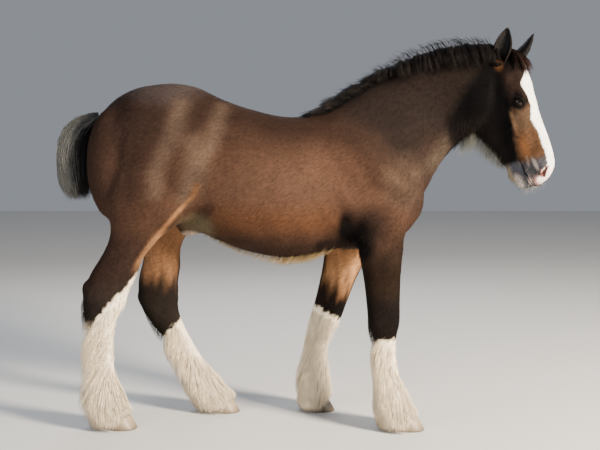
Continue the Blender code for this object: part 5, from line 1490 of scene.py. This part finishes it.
def beard_hair(surface, count):
    """Soft pale hair hanging below the jaw."""
    own = in_head(surface.middle)
    x, y, z = own.T
    jaw = np.interp(x, [row[0] for row in HEAD], [row[2] for row in HEAD])
    weight = step(0.035, 0.005, z - jaw) * step(0.20, 0.26, x) * step(0.46, 0.38, x)
    weight = weight * (np.abs(y) < 0.05) * face_share(own)
    root, normal = surface.draw(count, weight)
    own = in_head(root)
    length = np.interp(own[:, 0], (0.20, 0.26, 0.32, 0.38, 0.45), (0.060, 0.090, 0.080, 0.055, 0.022))
    length = length * rng.uniform(0.30, 1.05, count)
    fall = np.stack((-0.10 * length, -0.15 * own[:, 1] * 0, -length), 1)
    fall = fall + rng.normal(0, 0.10, (count, 3)) * length[:, None]
    tip, _ = clump(root, root + fall, 16, 0.25, 0.003)
    shade = varied(np.tile((0.190, 0.185, 0.150), (count, 1)), 0.7, 1.3)
    girth = rng.uniform(0.0004, 0.0007, count)
    return drop_hair("beard_hair", root, normal, tip - root, girth, shade * 0.35, shade)


def belly_hair(surface, count):
    """Pale gold fringe along the middle of the belly."""
    x, y, z = surface.middle.T
    weight = step(-0.40, -0.30, x) * step(0.16, 0.08, x) * (0.5 + step(-0.12, -0.02, x))
    weight = weight * step(0.08, 0.03, np.abs(y)) * (z < 0.76) * (z > 0.6)
    root, normal = surface.draw(count, weight)
    length = np.interp(root[:, 0], (-0.40, -0.25, -0.04, 0.08, 0.14), (0.014, 0.026, 0.056, 0.056, 0.020))
    length = length * rng.uniform(0.6, 1.0, count)
    fall = np.stack((-0.75 * length, 0.2 * root[:, 1], -0.80 * length), 1)
    tip, _ = clump(root, root + fall, 9, 0.6, 0.002)
    shade = varied(np.tile((0.520, 0.360, 0.170), (count, 1)), 0.7, 1.2)
    girth = rng.uniform(0.0010, 0.0018, count)
    return drop_hair("belly_hair", root, normal, tip - root, girth, shade * 0.35, shade, 0.1, 3)


def throat_hair(surface, count):
    """Longer hair under the neck's front and at the elbows."""
    x, _, z = surface.middle.T
    weight = step(0.10, 0.0, np.hypot((x - 0.64) / 0.8, z - 1.14))
    weight = weight + 0.6 * step(0.07, 0.03, np.hypot(x - 0.22, z - 0.715))
    root, normal = surface.draw(count, weight)
    length = rng.uniform(0.012, 0.026, count)
    way = lie(root, normal)
    fall = (way * 0.8 + normal * 0.25 + np.array((0, 0, -0.4))) * length[:, None]
    shade = coat_colour(root, normal) * rng.uniform(0.9, 1.5, (count, 1))
    girth = rng.uniform(0.0009, 0.0015, count)
    return drop_hair("throat_hair", root, normal, fall, girth, shade * 0.8, shade, 0.1, 3)


def whiskers(surface):
    """Fine pale hairs round the muzzle and the chin."""
    own = in_head(surface.middle)
    x, _, z = own.T
    weight = step(0.45, 0.50, x) * step(0.02, -0.03, z) * face_share(own)
    count = 420
    root, normal = surface.draw(count, weight)
    length = rng.uniform(0.008, 0.026, count)
    fall = (normal * 0.85 + np.array((0.05, 0, -0.45)) + rng.normal(0, 0.12, (count, 3))) * length[:, None]
    shade = varied(np.tile((0.300, 0.270, 0.230), (count, 1)), 0.5, 1.3)
    girth = rng.uniform(0.0005, 0.0008, count)
    return drop_hair("whiskers", root, normal, fall, girth, shade * 0.6, shade, 0.05, 3)


def lashes():
    """Lashes of both upper lids, straight and dark, and a few hairs below."""
    turn = head_frame()
    rotate = np.array(turn.to_3x3())
    roots, tips, outs = [], [], []
    for side in (-1, 1):
        width, height, out = eye_axes(side)
        centre = Vector((EYE.x, side * EYE.y, EYE.z))
        for k in range(70):
            a = -0.85 + 1.7 * (k + rng.random()) / 70
            upper = k % 7 != 0
            b = (1 - 0.35 * abs(a) ** 1.5) * math.sqrt(1 - a * a) * (1 if upper else -0.82)
            edge = width * (a * EYE_WIDTH * 0.52) + height * (b * EYE_HEIGHT * 0.52)
            rise = math.sqrt(max((EYE_RADIUS + LID_THICKNESS * 0.8) ** 2 - edge.length_squared, 0))
            root = centre + edge + out * rise
            length = (0.013 if upper else 0.007) * (0.7 + 0.4 * rng.random())
            way = out * 0.85 + height * (0.10 if upper else -0.5) + width * (0.25 * a + 0.12)
            roots.append(root)
            tips.append(root + way.normalized() * length)
            outs.append(height)
    root, tip, out = (np.array([tuple(v) for v in rows]) for rows in (roots, tips, outs))
    middle = (root + tip) / 2 - out * 0.0018
    root, middle, tip = (rows @ rotate.T + np.array(POLL) for rows in (root, middle, tip))
    dark = np.tile((0.010, 0.008, 0.008), (len(root), 1))
    girth = np.full(len(root), 0.0006)
    return strands("lashes", root, middle, tip, girth, out @ rotate.T, dark, dark * 1.5, 3)


def ear_shell(name, root, tip, opening):
    """One ear: a leaf rolled round a deep cup, its rim thinning to the tip."""
    line = tip - root
    length = line.length
    up = line.normalized()
    out = (opening - up * opening.dot(up)).normalized()
    side = up.cross(out)
    rings, hollow = [], []
    for t, wide, deep in smooth_rows(EAR, 5):
        centre = root + up * (length * t) + out * 0.012 * math.sin(math.pi * t)
        wide, deep = max(wide, 0.0015), max(deep, 0.0015)
        turn = [k * math.tau / 40 for k in range(40)]
        rings.append([centre + side * (wide * math.cos(a)) + out * (deep * math.sin(a)) for a in turn])
        if 0.08 < t < 0.97:
            cup = centre + out * (deep * 0.55)
            wide, deep = 0.84 * wide, 0.98 * deep
            hollow.append([cup + side * (wide * math.cos(a)) + out * (deep * math.sin(a)) for a in turn])
    made = carry(tube(name, rings))
    solid(carry(tube("cup", hollow)), made, "DIFFERENCE")
    for face in made.data.polygons:
        face.use_smooth = True
    points = read_points(made.data)[0]
    local = in_head(points) - np.array(root)
    height = local @ np.array(up) / length
    middle = local - np.outer(height * length, np.array(up))
    middle = middle - np.outer(0.012 * np.sin(np.pi * height), np.array(out))
    forward = middle @ np.array(out)
    deep = np.interp(height, [row[0] for row in EAR], [row[2] for row in EAR])
    across = np.abs(middle @ np.array(side))
    across = across / np.interp(height, [row[0] for row in EAR], [row[1] for row in EAR])
    inner = step(0.10, 0.35, forward / deep) * step(0.94, 0.84, across) * step(0.05, 0.15, height)
    colours = np.tile(SHADE["black"] * 1.1, (len(points), 1))
    colours = mix(colours, np.array((0.040, 0.026, 0.022)), inner)
    put_colours(made.data, colours)
    return made


def ear_fur(name, surface, count, up):
    """Short dark hair over the ear."""
    weight = np.ones(len(surface.middle))
    root, normal = surface.draw(count, weight)
    way = np.tile(np.array(head_frame().to_3x3()) @ np.array(up), (count, 1))
    way = unit(way - normal * (way * normal).sum(1, keepdims=True))
    size = rng.uniform(0.005, 0.009, count)
    tip = root + (way * 0.95 + normal * 0.28) * size[:, None]
    base = varied(np.tile(SHADE["black"] * 1.2, (count, 1)), 0.8, 1.4)
    girth = rng.uniform(0.0008, 0.0013, count)
    return strands(name, root - normal * 0.001, (root + tip) / 2, tip, girth, normal, base, base * 1.4, 1)


def eyeball(name, side):
    """A dark wet eye: brown iris, wide level pupil."""
    centre = Vector((EYE.x, side * EYE.y, EYE.z))
    made = ball(centre, EYE_RADIUS, name, 96, 64)
    points = read_points(made.data)[0] - np.array(centre)
    width, height, out = (np.array(axis) for axis in eye_axes(side))
    a, b, c = points @ width / EYE_RADIUS, points @ height / EYE_RADIUS, points @ out / EYE_RADIUS
    front = c > 0
    iris = step(0.80, 0.72, np.hypot(a, b)) * front
    streak = 0.8 + 0.35 * np.sin(np.arctan2(b, a) * 46) * np.sin(np.arctan2(b, a) * 17 + 1)
    pupil = step(1.06, 0.90, np.hypot(a / 0.50, b / 0.24)) * front
    colours = np.tile((0.020, 0.012, 0.010), (len(points), 1))
    colours = mix(colours, np.array((0.010, 0.0050, 0.0032)), iris)
    colours = colours * (1 - 0.35 * iris * (1 - streak))[:, None]
    colours = mix(colours, np.array((0.0025, 0.0022, 0.0030)), pupil)
    put_colours(made.data, colours)
    for face in made.data.polygons:
        face.use_smooth = True
    return carry(made)


def hoof_wall(name, toe, side_y):
    """A hoof with the fine rings of its growth and a rounded rim."""
    rings = []
    rows = 15
    for k in range(rows):
        h = k / (rows - 1)
        ring_of = hoof_ring(toe, side_y, h, 56)
        middle = sum((Vector(p) for p in ring_of), Vector()) / len(ring_of)
        shrink = 0.0004 * (1 - math.cos(k * 2.2))
        shrink += (0.0018 if k == 0 else 0) + (0.0012 if k == rows - 1 else 0)
        rings.append([Vector(p) - (Vector(p) - middle).normalized() * shrink for p in ring_of])
    made = tube(name, rings)
    for face in made.data.polygons:
        face.use_smooth = abs(face.normal.z) < 0.85
    return made


def tail_core():
    """The dock under the hair."""
    rings = []
    turn = [k * math.tau / 16 for k in range(16)]
    for x, z, deep, half in smooth_rows(DOCK, 4):
        rings.append([Vector((x + 0.85 * deep * math.cos(a), 0.85 * half * math.sin(a), z)) for a in turn])
    return tube("tail_core", rings)


def group_of(name, inputs, outputs):
    """An empty shader group with named sockets."""
    made = bpy.data.node_groups.new(name, "ShaderNodeTree")
    for label, kind, value in inputs:
        socket = made.interface.new_socket(label, in_out="INPUT", socket_type=kind)
        if value is not None:
            socket.default_value = value
    for label, kind in outputs:
        made.interface.new_socket(label, in_out="OUTPUT", socket_type=kind)
    return made, made.nodes.new("NodeGroupInput"), made.nodes.new("NodeGroupOutput")


def node(tree, kind, **values):
    """A shader node of one kind, with some of its inputs set."""
    made = tree.nodes.new(kind)
    for label, value in values.items():
        made.inputs[label.replace("_", " ")].default_value = value
    return made


def coat_tone_group():
    """Breaks up a coat's colour: clumps of hair lighter and darker, single hairs drawn out along the lie."""
    tree, given, out = group_of(
        "coat_tone",
        (("Color", "NodeSocketColor", (0.5, 0.5, 0.5, 1)), ("Clumps", "NodeSocketFloat", 30.0),
         ("Hairs", "NodeSocketFloat", 400.0), ("Strength", "NodeSocketFloat", 0.3)),
        (("Color", "NodeSocketColor"), ("Hair", "NodeSocketFloat")),
    )
    place = node(tree, "ShaderNodeTexCoord")
    turned = node(tree, "ShaderNodeMapping", Rotation=(0, COAT_SLANT, 0))
    drawn = node(tree, "ShaderNodeMapping", Scale=(0.14, 1.0, 1.0))
    broad = node(tree, "ShaderNodeMapping", Scale=(0.45, 1.0, 1.0))
    wide = node(tree, "ShaderNodeTexNoise", Detail=3)
    fine = node(tree, "ShaderNodeTexNoise", Detail=1)
    both = node(tree, "ShaderNodeMath")
    both.operation = "ADD"
    spread = node(tree, "ShaderNodeMath")
    spread.operation = "SUBTRACT"
    spread.inputs[1].default_value = 1.0
    scaled = node(tree, "ShaderNodeMath")
    scaled.operation = "MULTIPLY_ADD"
    scaled.inputs[2].default_value = 1.0
    tinted = node(tree, "ShaderNodeVectorMath")
    tinted.operation = "SCALE"
    link = tree.links.new
    link(place.outputs["Object"], turned.inputs["Vector"])
    link(turned.outputs["Vector"], drawn.inputs["Vector"])
    link(turned.outputs["Vector"], broad.inputs["Vector"])
    link(broad.outputs["Vector"], wide.inputs["Vector"])
    link(drawn.outputs["Vector"], fine.inputs["Vector"])
    link(given.outputs["Clumps"], wide.inputs["Scale"])
    link(given.outputs["Hairs"], fine.inputs["Scale"])
    link(wide.outputs["Fac"], both.inputs[0])
    link(fine.outputs["Fac"], both.inputs[1])
    link(both.outputs[0], spread.inputs[0])
    link(spread.outputs[0], scaled.inputs[0])
    link(given.outputs["Strength"], scaled.inputs[1])
    link(given.outputs["Color"], tinted.inputs[0])
    link(scaled.outputs[0], tinted.inputs["Scale"])
    link(tinted.outputs[0], out.inputs["Color"])
    link(fine.outputs["Fac"], out.inputs["Hair"])
    return tree


def horn_group():
    """Colour of horn: upright streaks, and soil at the ground."""
    tree, given, out = group_of(
        "horn_tone",
        (("Color", "NodeSocketColor", (0.5, 0.4, 0.3, 1)), ("Soil", "NodeSocketColor", (0.12, 0.09, 0.06, 1)),
         ("Streaks", "NodeSocketFloat", 90.0)),
        (("Color", "NodeSocketColor"), ("Height", "NodeSocketFloat")),
    )
    place = node(tree, "ShaderNodeTexCoord")
    stretch = node(tree, "ShaderNodeMapping", Scale=(1.0, 1.0, 0.12))
    streak = node(tree, "ShaderNodeTexNoise")
    apart = node(tree, "ShaderNodeSeparateXYZ")
    ground = node(tree, "ShaderNodeMapRange", From_Min=0.030, From_Max=0.0)
    tone = node(tree, "ShaderNodeMapRange", To_Min=0.65, To_Max=1.25)
    tinted = node(tree, "ShaderNodeVectorMath")
    tinted.operation = "SCALE"
    soiled = node(tree, "ShaderNodeMix")
    soiled.data_type = "RGBA"
    link = tree.links.new
    link(place.outputs["Object"], stretch.inputs["Vector"])
    link(stretch.outputs["Vector"], streak.inputs["Vector"])
    link(given.outputs["Streaks"], streak.inputs["Scale"])
    link(place.outputs["Object"], apart.inputs[0])
    link(apart.outputs["Z"], ground.inputs["Value"])
    link(streak.outputs["Fac"], tone.inputs["Value"])
    link(given.outputs["Color"], tinted.inputs[0])
    link(tone.outputs["Result"], tinted.inputs["Scale"])
    link(ground.outputs["Result"], soiled.inputs["Factor"])
    link(tinted.outputs[0], soiled.inputs["A"])
    link(given.outputs["Soil"], soiled.inputs["B"])
    link(soiled.outputs["Result"], out.inputs["Color"])
    link(streak.outputs["Fac"], out.inputs["Height"])
    return tree


def shader_of(name):
    """A new material with its tree and its main shader."""
    made = bpy.data.materials.new(name)
    made.use_nodes = True
    return made, made.node_tree, made.node_tree.nodes["Principled BSDF"]


def hide_paint(name, tone, roughness, strength, bump, clumps=30.0, hairs=420.0, coat=0.0, gloss=0.14):
    """Skin or hair that carries the coat's colours, broken up, with a fine nap."""
    made, tree, shader = shader_of(name)
    carried = node(tree, "ShaderNodeAttribute")
    carried.attribute_name = "Coat"
    broken = node(tree, "ShaderNodeGroup")
    broken.node_tree = tone
    broken.inputs["Clumps"].default_value = clumps
    broken.inputs["Hairs"].default_value = hairs
    broken.inputs["Strength"].default_value = strength
    rough = node(tree, "ShaderNodeMapRange", To_Min=roughness - 0.12, To_Max=roughness + 0.12)
    tree.links.new(carried.outputs["Color"], broken.inputs["Color"])
    tree.links.new(broken.outputs["Color"], shader.inputs["Base Color"])
    tree.links.new(broken.outputs["Hair"], rough.inputs["Value"])
    tree.links.new(rough.outputs["Result"], shader.inputs["Roughness"])
    if bump:
        raised = tree.nodes.new("ShaderNodeBump")
        raised.inputs["Strength"].default_value = bump
        raised.inputs["Distance"].default_value = 0.0008
        tree.links.new(broken.outputs["Hair"], raised.inputs["Height"])
        tree.links.new(raised.outputs["Normal"], shader.inputs["Normal"])
    shader.inputs["Specular IOR Level"].default_value = gloss
    shader.inputs["Coat Weight"].default_value = coat
    shader.inputs["Coat Roughness"].default_value = 0.04
    return made


def horn_paint(name, tone, colour):
    """Horn of one colour, streaked and bumped along its streaks."""
    made, tree, shader = shader_of(name)
    streaks = node(tree, "ShaderNodeGroup")
    streaks.node_tree = tone
    streaks.inputs["Color"].default_value = (*colour, 1)
    raised = node(tree, "ShaderNodeBump", Strength=0.35, Distance=0.001)
    tree.links.new(streaks.outputs["Color"], shader.inputs["Base Color"])
    tree.links.new(streaks.outputs["Height"], raised.inputs["Height"])
    tree.links.new(raised.outputs["Normal"], shader.inputs["Normal"])
    shader.inputs["Roughness"].default_value = 0.48
    return made


def floor_paint():
    """The plain pale floor."""
    made, tree, shader = shader_of("pale_floor")
    grain = node(tree, "ShaderNodeTexNoise", Scale=3.0)
    tone = node(tree, "ShaderNodeMapRange", To_Min=0.60, To_Max=0.66)
    tree.links.new(grain.outputs["Fac"], tone.inputs["Value"])
    tree.links.new(tone.outputs["Result"], shader.inputs["Base Color"])
    shader.inputs["Roughness"].default_value = 0.9
    return made


def on_torso(side):
    """Where one side's coat grows on the trunk."""
    def region(middle):
        x, y, z = middle.T
        own = in_head(middle)
        neck_part = step(0.30, 0.36, x + 0.7 * (z - 1.05))
        return (np.sign(y) == side) * step(0.60, 0.72, z) * np.where(face_share(own), 0, 1) * (1 - neck_part)
    return region


def on_neck(middle):
    """Where the neck's own coat grows."""
    x, _, z = middle.T
    own = in_head(middle)
    return step(0.30, 0.36, x + 0.7 * (z - 1.05)) * (z > 0.7) * np.where(face_share(own), 0, 1)


def on_head(middle):
    """Where the head's own coat grows."""
    own = in_head(middle)
    about_eye = np.linalg.norm((own - np.array(EYE)) * (1, 0, 1), axis=1)
    bare = step(0.018, 0.026, about_eye) * step(0.545, 0.500, own[:, 0])
    return face_share(own) * np.clip(bare, 0, 1) * (1 + 0.6 * step(0.40, 0.46, own[:, 0]))


def on_legs(middle):
    """Where the legs' own coat grows."""
    z = middle[:, 2]
    return step(0.72, 0.60, z) * step(0.14, 0.20, z)


def body_length(points):
    """Length of the body's coat."""
    x, _, z = points.T
    return 0.0115 + 0.004 * step(0.78, 0.68, z) + 0.002 * step(0.35, 0.5, x)


def head_length(points):
    """Length of the head's coat."""
    own = in_head(points)
    return 0.0075 - 0.0042 * step(0.36, 0.46, own[:, 0]) + 0.004 * step(-0.06, -0.15, own[:, 2])


def leg_length(points):
    """Length of the legs' coat."""
    return 0.0085 + 0.002 * step(0.5, 0.7, points[:, 2])


def build():
    """Makes every piece and hands it to the frame."""
    tone, horn = coat_tone_group(), horn_group()
    hide = hide_paint("hide", tone, 0.80, 0.90, 0.55, 110.0, 300.0, gloss=0.05)
    fur = hide_paint("short_fur", tone, 0.62, 0.60, 0.0, 110.0, 300.0, gloss=0.06)
    dark_fur = hide_paint("dark_fur", tone, 0.86, 0.40, 0.0, 70.0, 300.0, gloss=0.02)
    long_hair = hide_paint("long_hair", tone, 0.55, 0.22, 0.0, 24.0, 160.0, gloss=0.07)
    ear_paint = hide_paint("ear_hide", tone, 0.60, 0.40, 0.6, 60.0, 500.0)
    wet = hide_paint("wet_eye", tone, 0.14, 0.05, 0.0, 40.0, 300.0, coat=0.30, gloss=0.05)
    cream_horn = horn_paint("cream_horn", horn, (0.330, 0.260, 0.180))
    dark_horn = horn_paint("dark_horn", horn, (0.042, 0.038, 0.036))

    skin = make_skin()
    points, normals = read_points(skin.data)
    put_colours(skin.data, shaded_hollows_and_lids(points, coat_colour(points, normals)))
    unwrap_skin(skin)
    surface = Surface(skin)
    share = 1.0
    coat = [
        short_coat("fur_right", surface, on_torso(-1), int(56000 * share), body_length, 0.0020),
        short_coat("fur_left", surface, on_torso(1), int(56000 * share), body_length, 0.0020),
        short_coat("fur_neck", surface, on_neck, int(34000 * share), body_length, 0.0018),
        short_coat("fur_head", surface, on_head, int(52000 * share), head_length, 0.0010, 8.0),
        short_coat("fur_legs", surface, on_legs, int(40000 * share), leg_length, 0.0016),
    ]
    for piece in coat:
        dress(piece, piece.name, dark_fur if piece.name in ("fur_head", "fur_legs") else fur)
    hair = [leg_hair(name, surface, i, int(6200 * share)) for i, name in enumerate(LEGS)]
    for piece in hair:
        dress(piece, piece.name, long_hair)
    dress(mane_hair(int(6500 * share)), "mane_hair", long_hair)
    dress(forelock_hair(int(1500 * share)), "forelock_hair", long_hair)
    dress(beard_hair(surface, int(2200 * share)), "beard_hair", long_hair)
    dress(belly_hair(surface, int(2400 * share)), "belly_hair", long_hair)
    dress(throat_hair(surface, int(1800 * share)), "throat_hair", long_hair)
    dress(whiskers(surface), "whiskers", long_hair)
    dress(lashes(), "lashes", long_hair)
    tail = tail_hair(int(6500 * share))
    core = tail_core()
    core_points = read_points(core.data)[0]
    put_colours(core.data, np.tile(SHADE["black"], (len(core_points), 1)))
    put_places(core.data, unwrap(core_points, core_points))
    dress(core, "tail_core", hide)
    dress(tail, "tail_hair", long_hair, ("tail",))
    for name, spots in (("ear_right", EAR_RIGHT), ("ear_left", EAR_LEFT)):
        shell = ear_shell(name + "_shell", *spots)
        put_places(shell.data, unwrap(read_points(shell.data)[0], read_points(shell.data)[0]))
        nap = ear_fur(name + "_fur", Surface(shell), int(5000 * share), (spots[1] - spots[0]).normalized())
        dress(shell, name + "_shell", ear_paint, (name,))
        dress(nap, name + "_fur", fur)
    for name, side in (("eye_right", -1), ("eye_left", 1)):
        dress(eyeball(name + "_ball", side), name + "_ball", wet, (name,))
    for name, toe in TOES.items():
        foot = FORE_OUT[-1] if name.startswith("fore") else HIND_OUT[-1]
        side_y = (-1 if name.endswith("right") else 1) * foot
        dark = name == "fore_left"
        wall = hoof_wall("wall_" + name, toe, side_y)
        paint, slot = (dark_horn, "dark_horn") if dark else (cream_horn, "horn")
        dress(wall, "wall_" + name, paint, ("hoof_" + name,))
    flesh_nodes = ["torso", "neck", "head"] + [part + leg for part in ("upper_", "lower_") for leg in TOES]
    dress(skin, "skin", hide, flesh_nodes)


def area_light(name, place, aim, size, power, colour=(1, 1, 1)):
    """A soft rectangular light aimed at a place."""
    light = bpy.data.lights.new(name, "AREA")
    light.shape = "RECTANGLE"
    light.size, light.size_y = size
    light.energy = power
    light.color = colour
    made = bpy.data.objects.new(name, light)
    made.location = place
    made.rotation_euler = (Vector(aim) - Vector(place)).to_track_quat("-Z", "Y").to_euler()
    bpy.context.scene.collection.objects.link(made)


def studio():
    """Pale floor, soft lights, and the camera where the picture was taken from."""
    bpy.ops.mesh.primitive_grid_add(x_subdivisions=8, y_subdivisions=8, size=24)
    ground = bpy.context.object
    ground.name = "floor"
    ground.data.materials.append(floor_paint())
    world = bpy.data.worlds.new("studio")
    bpy.context.scene.world = world
    world.use_nodes = True
    world.node_tree.nodes["Background"].inputs["Color"].default_value = (0.84, 0.90, 1.0, 1)
    world.node_tree.nodes["Background"].inputs["Strength"].default_value = 0.32
    area_light("key", (4.4, -3.4, 2.6), (0.1, 0, 0.8), (1.2, 1.2), 1560, (1.0, 0.87, 0.69))
    area_light("fill", (-3.2, -3.6, 1.8), (-0.2, 0, 0.8), (2.4, 2.4), 150, (0.95, 0.97, 1.0))
    area_light("back", (-0.5, 3.2, 3.4), (0, 0, 1.0), (3.0, 2.0), 90, (0.90, 0.95, 1.0))
    camera = bpy.data.cameras.new("camera")
    camera.sensor_width = 36.0
    camera.lens = 60.72
    eye = bpy.data.objects.new("camera", camera)
    eye.location = Vector((0.0, -4.0, 1.12)) + SHIFT
    eye.rotation_euler = (math.radians(90 - 4.8), 0, 0)
    bpy.context.scene.collection.objects.link(eye)
    bpy.context.scene.camera = eye


build()
studio()
